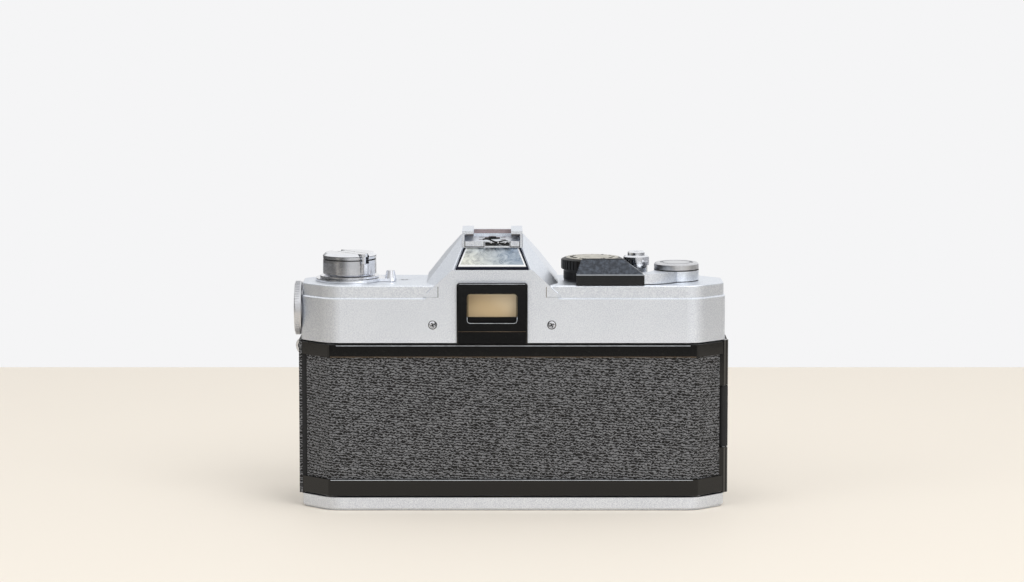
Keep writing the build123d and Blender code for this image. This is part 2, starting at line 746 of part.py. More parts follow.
# Lever end
speed_ring_radius = 9.6
speed_ring_top = deck_z + 3.85
dial_low = speed_ring_top + 0.15
dial_high = deck_z + 7.8
dial_radius = 10.3
dial_face_radius = 9.2
dial_crown = 0.5
dial_shaft_low = 64.0
release_boss = 5.0
release_boss_height = 1.3
lock_outer = 4.3
lock_bore = 3.0
lock_low = deck_z + release_boss_height + seat
lock_high = deck_z + 8.1
lock_waist = 0.5  # the ring's lower half stands in by this
button_radius = 2.9
button_top = deck_z + 9.5
cable_radius = 1.1
cable_depth = 3.0
release_travel = 2.0
release_low = deck_z - shell - 2.2
hub_radius = 7.5
lever_low = deck_z + gap
lever_high = deck_z + 3.6
hub_shaft_low = 58.0
tip_left, tip_right = 28.0, 50.6
tip_rear = rear_y + 0.1
tip_front = -dial_radius - 2 * gap
tip_crest_y = tip_front - 0.7
tip_wall_z = deck_z + 3.4
tip_top = deck_z + 8.5
tip_rake = 1.8
tip_corner = 1.2
tip_slant = 7.1
tip_overlap = 8.0
arm_inset = 1.4
arm_width = 3.4
arm_bow_y = rear_y + 3.3
arm_front_y = rear_y + 9.6
cap_low = deck_z + 4.0
cap_high = deck_z + 6.1
cap_ring = 5.6
cap_centre = 4.6
counter_low = 71.2
counter_thickness = 0.8
counter_dial_radius = 12.1
counter_hub = 4.0
# Lens: walls outside the fixed tube, and lengths from the mount's face forward
barrel_bore = barrel_radius - 4.0
rear_tube = 2.5
breech_wall, aperture_wall, scale_wall, focus_wall, head_wall = 5.6, 4.8, 4.0, 5.4, 3.0
breech_length, aperture_length, scale_length, focus_length, head_length = 6.3, 7.8, 5.0, 14.9, 9.0
breech_low = mount_y + gap
aperture_low = breech_low + breech_length + gap
scale_low = aperture_low + aperture_length + gap
scale_high = scale_low + scale_length
focus_low = scale_high + gap
focus_high = focus_low + focus_length
barrel_front = focus_high - aperture_wall
lens_rings = [
    ("breech_ring", barrel_radius + breech_wall, breech_low, breech_low + breech_length),
    ("aperture_ring", barrel_radius + aperture_wall, aperture_low, aperture_low + aperture_length),
    ("focus_ring", barrel_radius + focus_wall, focus_low, focus_high),
]
sleeve_radius = barrel_bore - running
sleeve_bore = sleeve_radius - 1.75
cell_low = mount_y + 1.5
head_low = focus_high + gap
head_high = head_low + head_length
head_radius = barrel_radius + head_wall
filter_radius = head_radius - 1.75
filter_depth = 3.5
front_glass = sleeve_bore - 1.7
rear_glass = sleeve_bore - 6.2
cell_step = 1.0  # shoulder behind each glass
glass_seat = head_low + cell_step
iris_y = scale_low + 3.0
iris_room = 2.0
iris_thickness = 0.5
iris_opening = 9.0
iris_count = 6
dome_rings = 4  # chords that stand for each glass's sphere
lens_glasses = [  # radius, seat, edge thickness, bulge
    ("front_element", front_glass, glass_seat, 1.6, 2.2),
    ("rear_element", rear_glass, cell_low + cell_step, 4.0, 1.4),
]

slope_plane = Plane(
    origin=(0, rear_y, shoulder_z), x_dir=(1, 0, 0),
    z_dir=(0, -sin(radians(slope_angle)), cos(radians(slope_angle))),
)
end_plane = Plane(origin=(0, 0, battery_z), x_dir=(0, 1, 0), z_dir=(1, 0, 0))


def upright_rear(x, z):
    """Plane on an axis that runs forward at x and z."""
    return Plane(origin=(x, 0, z), x_dir=(-1, 0, 0), z_dir=(0, 1, 0))


def slope_plate(margin):
    """Tapering outline of the plate on the rear slope, in the slope's own plane."""
    low, high = 2 * margin, slope_length - margin / 2
    lean = (shoulder_half - roof_half) / slope_length
    with BuildSketch(mode=Mode.PRIVATE) as plate:
        with BuildLine():
            Polyline(
                (plate_side + margin - shoulder_half + lean * low, low),
                (shoulder_half - plate_side - margin - lean * low, low),
                (shoulder_half - plate_side - margin - lean * high, high),
                (plate_side + margin - shoulder_half + lean * high, high), close=True,
            )
        make_face()
    return plate.sketch


def prism_housing(inset, low):
    """Prism housing's solid form, drawn in by inset, from a level up."""
    with BuildPart(mode=Mode.PRIVATE) as housing:
        with BuildSketch(Plane.YZ.offset(-body_depth)) as side:
            with BuildLine():
                Polyline(
                    (rear_y, low - inset), (rear_y, shoulder_z), (roof_rear, roof_z), (roof_front, roof_z),
                    (housing_front, brow_z), (housing_front, low - inset), close=True,
                )
            make_face()
            offset(amount=-inset, kind=Kind.INTERSECTION)
        extrude(side.sketch, amount=2 * body_depth)
        with BuildSketch(Plane.XZ.offset(-body_depth)) as front:
            with BuildLine():
                Polyline(
                    (-housing_half, low - inset), (-housing_half, deck_z), (-roof_half, roof_z),
                    (roof_half, roof_z), (housing_half, deck_z), (housing_half, low - inset), close=True,
                )
            make_face()
            offset(amount=-inset, kind=Kind.INTERSECTION)
        extrude(front.sketch, amount=2 * body_depth, mode=Mode.INTERSECT)
        # rear flanks: planes through the rear face's corners and the top of the slope
        for turn in (-1, 1):
            lower = Vector(turn * plinth_half, rear_y, plinth_top)
            upper = Vector(turn * shoulder_half, rear_y, shoulder_z)
            crown = Vector(turn * (roof_half - gap / 3), slope_y, shoe_floor)
            outward = (upper - lower).cross(crown - upper).normalized()
            if outward.Z < 0:
                outward = -outward
            flank = Plane(origin=lower - outward * inset, z_dir=outward)
            with BuildSketch(flank) as cutter:
                Rectangle(4 * body_depth, 4 * body_depth)
            removed = extrude(cutter.sketch, amount=2 * body_depth, mode=Mode.PRIVATE)
            add(removed, mode=Mode.SUBTRACT)
    return housing.part


with BuildPart() as top_cover:
    slab(body_plan(0, cover_corner, cover_side), cover_low, ledge_z)
    chamfer(faces().sort_by(Axis.Z)[-1].edges(), ledge_edge)
    slab(body_plan(ledge_inset, cover_corner, cover_side), ledge_z, deck_z)
    fillet(faces().sort_by(Axis.Z)[-1].edges(), deck_edge)
    add(prism_housing(0, cover_low))
    block((-plinth_half, plinth_half), (rear_y, 0), (ledge_z, plinth_top))
    # hollow inside, one wall thick
    inner_top = deck_z - shell
    inner_plan = body_plan(shell + ledge_inset, cover_corner - shell, cover_side - shell)
    slab(inner_plan, cover_low, inner_top, Mode.SUBTRACT)
    add(prism_housing(shell, cover_low), mode=Mode.SUBTRACT)
    block(
        (-shoulder_half, shoulder_half), (rear_y + shell, 0), (cover_low, plinth_top), Mode.SUBTRACT
    )
    disc(lens_plane, front_arc, front_y, body_depth, Mode.SUBTRACT)
    # beds for the shoe in the roof and for the plate on the rear slope
    block(
        (-shoe_half - seat, shoe_half + seat), (slope_y - gap, roof_front),
        (shoe_floor, roof_z), Mode.SUBTRACT,
    )
    with BuildSketch(slope_plane) as plate_bed:
        add(slope_plate(0))
    extrude(plate_bed.sketch, amount=-plate_bed_depth, mode=Mode.SUBTRACT)
    # boss round the release button
    boss_top = deck_z + release_boss_height
    turned(upright(release_x, release_y), [
        (0, inner_top), (release_boss, inner_top), (release_boss, deck_z), (lock_outer, boss_top),
        (0, boss_top),
    ])
    # bores and windows
    through = (inner_top - shell, boss_top)
    disc(upright(rewind_x, 0), rewind_shaft_radius + running, *through, Mode.SUBTRACT)
    disc(upright(dial_x, 0), dial_shaft + running, *through, Mode.SUBTRACT)
    disc(upright(lever_x, 0), hub_shaft + running, *through, Mode.SUBTRACT)
    disc(upright(release_x, release_y), release_shaft + running, *through, Mode.SUBTRACT)
    disc(upright(counter_x, counter_y), counter_window_radius + seat, *through, Mode.SUBTRACT)
    block(
        (-window_half - tunnel - seat, window_half + tunnel + seat), (rear_y - shell, rear_y + 2 * shell),
        (window_low - tunnel - seat, window_high + tunnel + seat), Mode.SUBTRACT,
    )
    disc(end_plane, battery_boss + seat, -left_end - shell, -left_end + 2 * shell, Mode.SUBTRACT)
    for side in (-1, 1):
        disc(
            upright_rear(side * cover_screw_x, cover_screw_z), cover_screw_shank + seat,
            -body_depth, rear_y + 2 * shell, Mode.SUBTRACT,
        )
save(top_cover, "top_cover")

with BuildPart() as prism_plate:
    with BuildSketch(slope_plane.offset(-plate_bed_depth)) as plate_face:
        add(slope_plate(plate_margin))
    extrude(plate_face.sketch, amount=plate_bed_depth)
save(prism_plate, "prism_plate")

with BuildPart() as cover_screws:
    for side in (-1, 1):
        screw_axis = upright_rear(side * cover_screw_x, cover_screw_z)
        turned(screw_axis, [
            (0, rear_y - screw_dome), (cover_screw_head - screw_dome, rear_y - screw_dome),
            (cover_screw_head, rear_y), (cover_screw_shank, rear_y),
            (cover_screw_shank, rear_y + cover_screw_length), (0, rear_y + cover_screw_length),
        ])
save(cover_screws, "cover_screws")

# Cradle that carries the prism over the screen and holds the eyepiece
with BuildPart() as prism_cradle:
    block((-cradle_half, cradle_half), (cradle_y, cradle_front), (cover_low, prism_low))
    foot_half = cover_screw_x + cover_screw_head + cradle_wall / 2
    for half, high in ((foot_half, ledge_z - 2 * shell), (cradle_post, eyepiece_top - shell)):
        block((-half, half), (cradle_y, cradle_y + cradle_wall), (cover_low, high))
    block(
        (-window_half - tunnel - seat, window_half + tunnel + seat), (rear_y, rear_y + 4 * shell),
        (window_low - tunnel - seat, window_high + tunnel + seat), Mode.SUBTRACT,
    )
    block(
        (prism_rest - prism_half, prism_half - prism_rest),
        (screen_rear + prism_rest, prism_front - prism_toe), (cover_low, prism_low), Mode.SUBTRACT,
    )
    for side in (-1, 1):
        disc(
            upright_rear(side * cover_screw_x, cover_screw_z), cover_screw_shank + seat,
            rear_y, rear_y + body_depth / 2, Mode.SUBTRACT,
        )
save(prism_cradle, "prism_cradle")

with BuildPart() as pentaprism:
    profile_x([
        (prism_rear, prism_low), (prism_front - prism_toe, prism_low),
        (prism_front, prism_low + prism_toe_height),
        (prism_crown_y, prism_crown), (prism_rear, prism_exit_top),
    ], -prism_half, prism_half)
    ridge_angle = atan2(prism_crown - prism_exit_top, prism_crown_y - prism_rear)
    for side in (-1, 1):
        roof_normal = Vector(side, -sin(ridge_angle), cos(ridge_angle)).normalized()
        ridge = Plane(origin=(0, prism_rear, prism_exit_top), z_dir=roof_normal)
        with BuildSketch(ridge) as roof_cut:
            Rectangle(4 * body_depth, 4 * body_depth)
        add(extrude(roof_cut.sketch, amount=body_depth, mode=Mode.PRIVATE), mode=Mode.SUBTRACT)
save(pentaprism, "pentaprism")

with BuildPart() as eyepiece_frame:
    block(
        (-eyepiece_half, eyepiece_half), (rear_y - eyepiece_proud, rear_y), (cover_low, eyepiece_top),
    )
    fillet(edges().filter_by(Axis.Y).group_by(Axis.Z)[-1], eyepiece_corner)
    chamfer(faces().sort_by(Axis.Y)[0].edges().sort_by(Axis.Z)[-1], rim_bevel)
    block(
        (-window_half - tunnel, window_half + tunnel), (rear_y, rear_y + 2 * shell - seat),
        (window_low - tunnel, window_high + tunnel),
    )
    eyepiece_rear = rear_y - eyepiece_proud
    with BuildSketch(Plane(origin=(0, eyepiece_rear, 0), x_dir=(1, 0, 0), z_dir=(0, 1, 0))) as window:
        with Locations((0, -(window_low + window_high) / 2)):
            RectangleRounded(2 * window_half, window_high - window_low, window_corner)
    funnel = 2 * shell + eyepiece_proud - seat - mask_thickness
    extrude(window.sketch, amount=funnel, taper=window_taper, mode=Mode.SUBTRACT)
    block(
        (-glass_half, glass_half), (eyepiece_rear, rear_y + 4 * shell), (glass_low, glass_high),
        Mode.SUBTRACT,
    )
    for groove_z in rib_grooves:
        block(
            (-eyepiece_half, eyepiece_half), (eyepiece_rear, eyepiece_rear + gap),
            (groove_z - gap / 2, groove_z + gap / 2), Mode.SUBTRACT,
        )
save(eyepiece_frame, "eyepiece_frame")

with BuildPart() as eyepiece_lens:
    block(
        (-window_half - lens_lap, window_half + lens_lap),
        (rear_y + 2 * shell, rear_y + 2 * shell + eyepiece_glass),
        (window_low - lens_lap, window_high + lens_lap),
    )
save(eyepiece_lens, "eyepiece_lens")

# ------------------------------------------------------------ accessory shoe
with BuildPart() as accessory_shoe:
    block((-shoe_half, shoe_half), (slope_y, shoe_front), (shoe_floor, shoe_top))
    block(
        (-shoe_half + shoe_wall, shoe_half - shoe_wall), (slope_y, shoe_front - shoe_stop),
        (shoe_floor + shoe_base, shoe_top - shoe_lip), Mode.SUBTRACT,
    )
    block(
        (-shoe_mouth, shoe_mouth), (slope_y, shoe_front - shoe_stop),
        (shoe_floor + shoe_base, shoe_top), Mode.SUBTRACT,
    )
    block(
        (-shoe_mouth, shoe_mouth), (shoe_front - shoe_stop, shoe_front),
        (shoe_top - shoe_lip, shoe_top), Mode.SUBTRACT,
    )
save(accessory_shoe, "accessory_shoe")

with BuildPart() as shoe_spring:
    inside = shoe_half - shoe_wall - seat
    spring_z = shoe_floor + shoe_base
    shoe_depth = (slope_y, shoe_front - shoe_stop - seat)
    block((-inside, inside), shoe_depth, (spring_z, spring_z + spring_leaf))
    spring_top = spring_z + spring_leaf
    for low, high in ((-inside, shoe_tab_left), (shoe_tab_right, inside)):
        block((low, high), (slope_y - spring_leaf, slope_y), (spring_z - shoe_tab, spring_top))
    disc(upright(0, shoe_contact_y), contact_radius + seat, spring_z, spring_top, Mode.SUBTRACT)
save(shoe_spring, "shoe_spring")

with BuildPart() as shoe_contact:
    disc(upright(0, shoe_contact_y), contact_radius, spring_z, spring_z + 2 * spring_leaf)
    disc(upright(0, shoe_contact_y), contact_radius / 2, spring_z, spring_z + 3 * spring_leaf)
save(shoe_contact, "shoe_contact")

# ------------------------------------------------------------ rewind end
with BuildPart() as rewind_collar:
    rewind_axis = upright(rewind_x, 0)
    collar_low = switch_z + switch_height + gap / 2
    turned(rewind_axis, [
        (collar_bore, deck_z), (collar_neck, deck_z), (collar_neck, collar_low),
        (collar_radius, collar_low), (collar_radius, collar_top), (collar_bore, collar_top),
    ])
save(rewind_collar, "rewind_collar")

with BuildPart() as meter_switch:
    disc(rewind_axis, switch_radius, switch_z, switch_z + switch_height)
    switch_plane = upright(rewind_x, 0, switch_angle)
    with BuildSketch(switch_plane.offset(switch_z)) as tongue:
        with BuildLine():
            Polyline(
                (0, switch_radius / 2), (peg_reach, peg_base), (peg_reach, -peg_base),
                (0, -switch_radius / 2), close=True,
            )
        make_face()
        with Locations((peg_reach, 0)):
            Circle(peg_base)
    extrude(tongue.sketch, amount=switch_height)
    with BuildSketch(switch_plane.offset(switch_z + switch_height)) as peg:
        with Locations((peg_reach, 0)):
            Circle(peg_base)
    extrude(peg.sketch, amount=peg_height, taper=degrees(atan2(peg_base - peg_tip, peg_height)))
    disc(rewind_axis, collar_neck + running, switch_z, switch_z + switch_height, Mode.SUBTRACT)
save(meter_switch, "meter_switch")

crank_plane = upright(rewind_x, 0, crank_angle)
with BuildPart() as rewind_knob:
    turned(rewind_axis, [
        (0, knob_low), (knob_radius - rim_bevel, knob_low), (knob_radius, knob_low + rim_bevel),
        (knob_radius, knob_groove), (knob_radius - rim_bevel, knob_groove),
        (knob_radius - rim_bevel, knob_groove + rim_bevel), (knob_radius, knob_groove + rim_bevel),
        (knob_radius, knob_top - knob_edge), (knob_radius - knob_edge, knob_top), (0, knob_top),
    ])
    # channel right across the top for the crank, notch for its peg
    with BuildSketch(crank_plane.offset(knob_top - crank_thickness - seat)) as channel:
        Rectangle(4 * knob_radius, 2 * (crank_half + gap))
    extrude(channel.sketch, amount=2 * crank_thickness, mode=Mode.SUBTRACT)
    with BuildSketch(crank_plane.offset(knob_low + rim_bevel)) as notch:
        with Locations((knob_radius, 0)):
            Rectangle(2 * peg_notch_depth, 2 * (crank_peg + 2 * gap))
    extrude(notch.sketch, amount=knob_top, mode=Mode.SUBTRACT)
    # shaft with its fork, down into the cassette chamber
    disc(rewind_axis, rewind_shaft_radius, chamber_high, knob_low)
    with BuildSketch(Plane.XY.offset(fork_low)) as fork:
        with Locations((rewind_x, 0)):
            Rectangle(2 * rewind_shaft_radius - 2 * seat, fork_thickness)
    extrude(fork.sketch, amount=chamber_high - fork_low)
save(rewind_knob, "rewind_knob")

crank_z = knob_top - crank_thickness
crank_hinge_plane = Plane(
    origin=crank_plane.from_local_coords(Vector(-crank_pivot, -crank_half, crank_z + crank_thickness / 2)),
    x_dir=(0, 0, 1), z_dir=crank_plane.y_dir,
)
with BuildPart() as rewind_crank:
    with BuildSketch(crank_plane.offset(crank_z)) as arm:
        with Locations(((crank_tip - crank_pivot) / 2, 0)):
            Rectangle(crank_tip + crank_pivot, 2 * crank_half)
        with Locations((crank_tip, 0)):
            Circle(crank_half)
    extrude(arm.sketch, amount=crank_thickness)
    # barrel round the hinge line at its inner end
    with BuildSketch(crank_hinge_plane) as barrel:
        Circle(crank_thickness / 2)
    extrude(barrel.sketch, amount=2 * crank_half)
    with BuildSketch(crank_plane.offset(crank_z)) as peg:
        with Locations((crank_tip, 0)):
            Circle(crank_peg)
    extrude(peg.sketch, amount=-crank_peg_length)
save(rewind_crank, "rewind_crank")

with BuildPart() as latch_bar:
    bar_side = latch_y - latch_arm / 2
    block((latch_x - latch_arm, rewind_x + latch_arm), (bar_side, bar_side + latch_arm), latch_level)
    block((rewind_x - latch_arm, rewind_x + latch_arm), (bar_side, 0), latch_level)
    disc(rewind_axis, latch_collar, *latch_level)
    disc(rewind_axis, rewind_shaft_radius + running, *latch_level, Mode.SUBTRACT)
    disc(latch_axis, latch_pin_radius, latch_tab_z + latch_tab_height + 2 * gap, latch_level[0])
save(latch_bar, "latch_bar")

with BuildPart() as battery_cover:
    disc(end_plane, battery_cover_radius, -left_end - battery_cover_proud, -left_end - seat)
    chamfer(edges().filter_by(GeomType.CIRCLE).sort_by(Axis.X)[0], rim_bevel)
    disc(end_plane, battery_boss, -left_end - seat, battery_face - gap)
    block(
        (-left_end - 2 * battery_cover_proud, -left_end - battery_cover_proud / 2),
        (-coin_slot / 2, coin_slot / 2), (battery_z - battery_boss, battery_z + battery_boss),
        Mode.SUBTRACT,
    )
save(battery_cover, "battery_cover")

with BuildPart() as battery:
    disc(end_plane, battery_radius, battery_face, battery_face + battery_length)
save(battery, "battery")

with BuildPart() as battery_holder:
    disc(end_plane, holder_radius, holder_mouth, battery_face + battery_length + shell)
    disc(end_plane, battery_boss + seat, holder_mouth, battery_face + seat, Mode.SUBTRACT)
    disc(end_plane, battery_radius + seat, holder_mouth, battery_face + battery_length, Mode.SUBTRACT)
    block(
        (holder_mouth, battery_face + battery_length + shell), (-holder_radius / 2, holder_radius / 2),
        (cover_low, battery_z - battery_radius - shell),
    )
save(battery_holder, "battery_holder")

# ------------------------------------------------------------ lever end
dial_axis = upright(dial_x, 0)
with BuildPart() as film_speed_ring:
    disc(dial_axis, speed_ring_radius, deck_z + seat, speed_ring_top)
    disc(dial_axis, dial_shaft + running, deck_z + seat, speed_ring_top, Mode.SUBTRACT)
save(film_speed_ring, "film_speed_ring")

with BuildPart() as speed_dial:
    turned(dial_axis, [
        (0, dial_shaft_low), (dial_shaft, dial_shaft_low), (dial_shaft, dial_low), (dial_radius, dial_low),
        (dial_radius, dial_high - rim_bevel), (dial_face_radius, dial_high), (0, dial_high + dial_crown),
    ])
save(speed_dial, "speed_dial")

release_axis = upright(release_x, release_y)
with BuildPart() as release_lock_ring:
    turned(release_axis, [
        (lock_bore, lock_low), (lock_outer - lock_waist, lock_low),
        (lock_outer - lock_waist, (lock_low + lock_high) / 2), (lock_outer, (lock_low + lock_high) / 2),
        (lock_outer, lock_high - rim_bevel), (lock_outer - rim_bevel, lock_high), (lock_bore, lock_high),
    ])
save(release_lock_ring, "release_lock_ring")

with BuildPart() as release_button:
    turned(release_axis, [
        (0, release_low), (release_shaft, release_low), (release_shaft, lock_low + gap + release_travel),
        (button_radius, lock_low + gap + release_travel), (button_radius, button_top - rim_bevel),
        (button_radius - rim_bevel, button_top), (cable_radius, button_top - gap),
        (cable_radius, button_top - gap - cable_depth), (0, button_top - gap - cable_depth),
    ])
save(release_button, "release_button")

lever_axis = upright(lever_x, 0)
arm_rear = tip_rear + arm_inset
arm_end = tip_right - tip_overlap
with BuildPart() as advance_lever:
    disc(lever_axis, hub_radius, lever_low, lever_high)
    with BuildSketch(Plane.XY.offset(lever_low)) as arm:
        with BuildLine():
            ThreePointArc(
                (lever_x, -hub_radius), ((lever_x + tip_right) / 2, arm_bow_y), (tip_right, arm_rear)
            )
            Line((tip_right, arm_rear), (arm_end, arm_rear))
            Line((arm_end, arm_rear), (arm_end, arm_rear + arm_width))
            ThreePointArc(
                (arm_end, arm_rear + arm_width),
                ((lever_x - hub_radius + tip_right) / 2, arm_front_y), (lever_x - hub_radius, 0),
            )
            Line((lever_x - hub_radius, 0), (lever_x, -hub_radius))
        make_face()
    extrude(arm.sketch, amount=lever_high - lever_low)
    disc(lever_axis, hub_shaft, hub_shaft_low, lever_low)
save(advance_lever, "advance_lever")

# Thumb tip: a wedge along the rear edge, hooked over the end of the arm
tip_bottom = lever_low - seat
with BuildPart() as lever_tip:
    profile_x([
        (tip_rear, tip_bottom), (tip_rear, tip_wall_z), (tip_crest_y, tip_top), (tip_front, tip_top),
        (tip_front, tip_bottom),
    ], tip_left, tip_right)
    with BuildSketch(Plane.XZ) as face:
        with BuildLine():
            Polyline(
                (tip_left, tip_bottom), (tip_left, tip_wall_z), (tip_left + tip_rake, tip_top),
                (tip_right - tip_slant, tip_top), (tip_right, tip_wall_z), (tip_right, tip_bottom),
                close=True,
            )
        make_face()
        fillet(vertices().group_by(Axis.Y)[-1], tip_corner)
    extrude(face.sketch, amount=body_depth, both=True, mode=Mode.INTERSECT)
    block(
        (tip_right - tip_overlap - seat, tip_right), (tip_rear + arm_inset - seat, tip_front),
        (tip_bottom, lever_high + seat), Mode.SUBTRACT,
    )
save(lever_tip, "lever_tip")

with BuildPart() as lever_cap:
    turned(lever_axis, [
        (0, lever_high), (hub_radius - rim_bevel, lever_high), (hub_radius - rim_bevel, cap_low),
        (hub_radius, cap_low), (hub_radius, cap_high - rim_bevel), (hub_radius - rim_bevel, cap_high),
        (cap_ring, cap_high), (cap_ring, cap_high - gap), (cap_centre, cap_high - gap),
        (cap_centre, cap_high), (0, cap_high),
    ])
save(lever_cap, "lever_cap")

with BuildPart() as counter_window:
    disc(upright(counter_x, counter_y), counter_window_radius, inner_top, deck_z)
save(counter_window, "counter_window")

with BuildPart() as counter_dial:
    disc(lever_axis, counter_dial_radius, counter_low, counter_low + counter_thickness)
    disc(lever_axis, counter_hub, counter_low, inner_top - seat)
    disc(lever_axis, hub_shaft + running, counter_low, inner_top - seat, Mode.SUBTRACT)
save(counter_dial, "counter_dial")

# ------------------------------------------------------------ lens
with BuildPart() as lens_barrel:
    turned(lens_plane, [
        (barrel_bore, mount_y - rear_tube), (throat_radius - seat, mount_y - rear_tube),
        (throat_radius - seat, mount_y), (barrel_radius, mount_y), (barrel_radius, scale_low),
        (barrel_radius + scale_wall, scale_low), (barrel_radius + scale_wall, scale_high),
        (barrel_radius, scale_high),
        (barrel_radius, barrel_front), (barrel_bore, barrel_front),
    ])
save(lens_barrel, "lens_barrel")

for ring_name, ring_radius, ring_low, ring_high in lens_rings:
    with BuildPart() as lens_ring:
        turned(lens_plane, [
            (barrel_radius + running, ring_low), (ring_radius - rim_bevel, ring_low),
            (ring_radius, ring_low + rim_bevel), (ring_radius, ring_high - rim_bevel),
            (ring_radius - rim_bevel, ring_high), (barrel_radius + running, ring_high),
        ])
    save(lens_ring, ring_name)

with BuildPart() as front_barrel:
    turned(lens_plane, [
        (rear_glass - seat, cell_low), (sleeve_radius, cell_low), (sleeve_radius, head_low),
        (head_radius, head_low), (head_radius, head_high), (filter_radius, head_high),
        (filter_radius, head_high - filter_depth), (front_glass + seat, glass_seat + filter_depth / 2),
        (front_glass + seat, glass_seat), (sleeve_bore, glass_seat - cell_step),
        (sleeve_bore, iris_y - iris_room), (rear_glass + seat, iris_y - 2 * iris_room),
        (rear_glass + seat, cell_low + cell_step), (rear_glass - seat, cell_low + cell_step),
    ])
save(front_barrel, "front_barrel")

for glass_name, glass_radius, back, edge, bulge in lens_glasses:
    sphere = (glass_radius**2 + bulge**2) / (2 * bulge)
    centre = back + edge + bulge - sphere
    rims = [glass_radius * ring / dome_rings for ring in range(dome_rings, 0, -1)]
    with BuildPart() as element:
        turned(lens_plane, [
            (0, back), (glass_radius, back), *[(rim, centre + sqrt(sphere**2 - rim**2)) for rim in rims],
            (0, centre + sqrt(sphere**2 - rims[-1]**2)),
        ])
    save(element, glass_name)

with BuildPart() as iris_blades:
    disc(lens_plane, sleeve_bore - seat, iris_y - iris_thickness, iris_y)
    with BuildSketch(lens_plane.offset(iris_y - iris_thickness)) as aperture:
        RegularPolygon(iris_opening, iris_count)
    extrude(aperture.sketch, amount=iris_thickness, mode=Mode.SUBTRACT)
save(iris_blades, "iris_blades")
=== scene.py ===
import math

import bmesh
import bpy
from mathutils import Matrix, Vector


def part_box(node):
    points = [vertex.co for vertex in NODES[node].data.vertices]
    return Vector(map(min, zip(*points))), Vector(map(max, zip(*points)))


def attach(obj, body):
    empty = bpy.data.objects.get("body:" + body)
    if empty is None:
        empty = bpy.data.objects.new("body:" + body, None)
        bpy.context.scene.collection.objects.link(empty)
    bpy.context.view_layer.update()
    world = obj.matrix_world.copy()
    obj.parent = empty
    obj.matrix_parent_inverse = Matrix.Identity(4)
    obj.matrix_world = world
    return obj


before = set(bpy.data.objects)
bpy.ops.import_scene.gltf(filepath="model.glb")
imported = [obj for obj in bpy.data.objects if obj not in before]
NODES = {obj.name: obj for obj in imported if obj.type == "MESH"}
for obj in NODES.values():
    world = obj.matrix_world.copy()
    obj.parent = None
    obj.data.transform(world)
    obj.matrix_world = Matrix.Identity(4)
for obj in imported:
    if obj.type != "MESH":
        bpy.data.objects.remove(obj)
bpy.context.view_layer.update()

MM = 0.001


# ------------------------------------------------------------ places
def corners(node):
    """Lowest and highest corner of a node."""
    low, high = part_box(node)
    return Vector(low), Vector(high)


def middle(node):
    low, high = corners(node)
    return (low + high) / 2


def frame_at(origin, across, along):
    """Matrix whose z runs along an axis, with x across it."""
    z = Vector(along).normalized()
    x = Vector(across).normalized()
    y = z.cross(x)
    turned = Matrix((x, y, z)).transposed().to_4x4()
    return Matrix.Translation(origin) @ turned


UP, FORWARD, RIGHT = Vector((0, 0, 1)), Vector((0, 1, 0)), Vector((1, 0, 0))


def axis_of(node):
    """Foot of an upright piece's axis, at the level of the base."""
    centre = middle(node)
    return Vector((centre.x, centre.y, 0))


def radius_of(node, axis="x"):
    """Half of a round piece's width along an axis, in millimetres."""
    low, high = corners(node)
    return (getattr(high, axis) - getattr(low, axis)) / 2 / MM


def upright(centre, z):
    """Place of a band round an upright axis, at a height."""
    return frame_at(centre + UP * z, RIGHT, UP)


plate_low, plate_high = corners("prism_plate")
eye_low, eye_high = corners("eyepiece_frame")
lens_axis_z = middle("lens_mount").z
rear_y = corners("back_door")[0].y
deck_z = corners("rewind_collar")[0].z


# ------------------------------------------------------------ nodes
def placed_node(tree, kind, settings, values, output):
    """Output of a new node: settings first, then its sockets' values or links."""
    made = tree.nodes.new(kind)
    for setting, value in dict(settings).items():
        setattr(made, setting, value)
    for socket, value in dict(values).items():
        if isinstance(value, bpy.types.NodeSocket):
            tree.links.new(value, made.inputs[socket])
        else:
            made.inputs[socket].default_value = value
    return made.outputs[output]


# ------------------------------------------------------------ finishes
def tint(red, green, blue):
    """Linear colour for a screen colour given in 0 to 255."""
    shares = [c / 255 for c in (red, green, blue)]
    linear = [((s + 0.055) / 1.055) ** 2.4 if s > 10 / 255 else s / 12.92 for s in shares]
    return (*linear, 1.0)


def darkened(colour, share):
    return (*(c * share for c in colour[:3]), 1.0)


class Reading:
    """A number that changes over a surface; arithmetic on it adds the Math nodes."""

    def __init__(self, finish, socket):
        self.finish, self.socket = finish, socket

    def _maths(self, operation, *values):
        return self.finish.node("ShaderNodeMath", {"operation": operation}, dict(enumerate(values)))

    def __add__(self, other):
        return self._maths("ADD", self, other)

    def __radd__(self, other):
        return self._maths("ADD", other, self)

    def __sub__(self, other):
        return self._maths("SUBTRACT", self, other)

    def __rsub__(self, other):
        return self._maths("SUBTRACT", other, self)

    def __mul__(self, other):
        return self._maths("MULTIPLY", self, other)

    def __rmul__(self, other):
        return self._maths("MULTIPLY", other, self)

    def size(self):
        return self._maths("ABSOLUTE", self)

    def rise(self, low, high):
        """0 below low and 1 above high, with a soft step between."""
        settings = {"interpolation_type": "SMOOTHSTEP"}
        values = {"Value": self, "From Min": low, "From Max": high, "To Min": 0.0, "To Max": 1.0}
        return self.finish.node("ShaderNodeMapRange", settings, values)


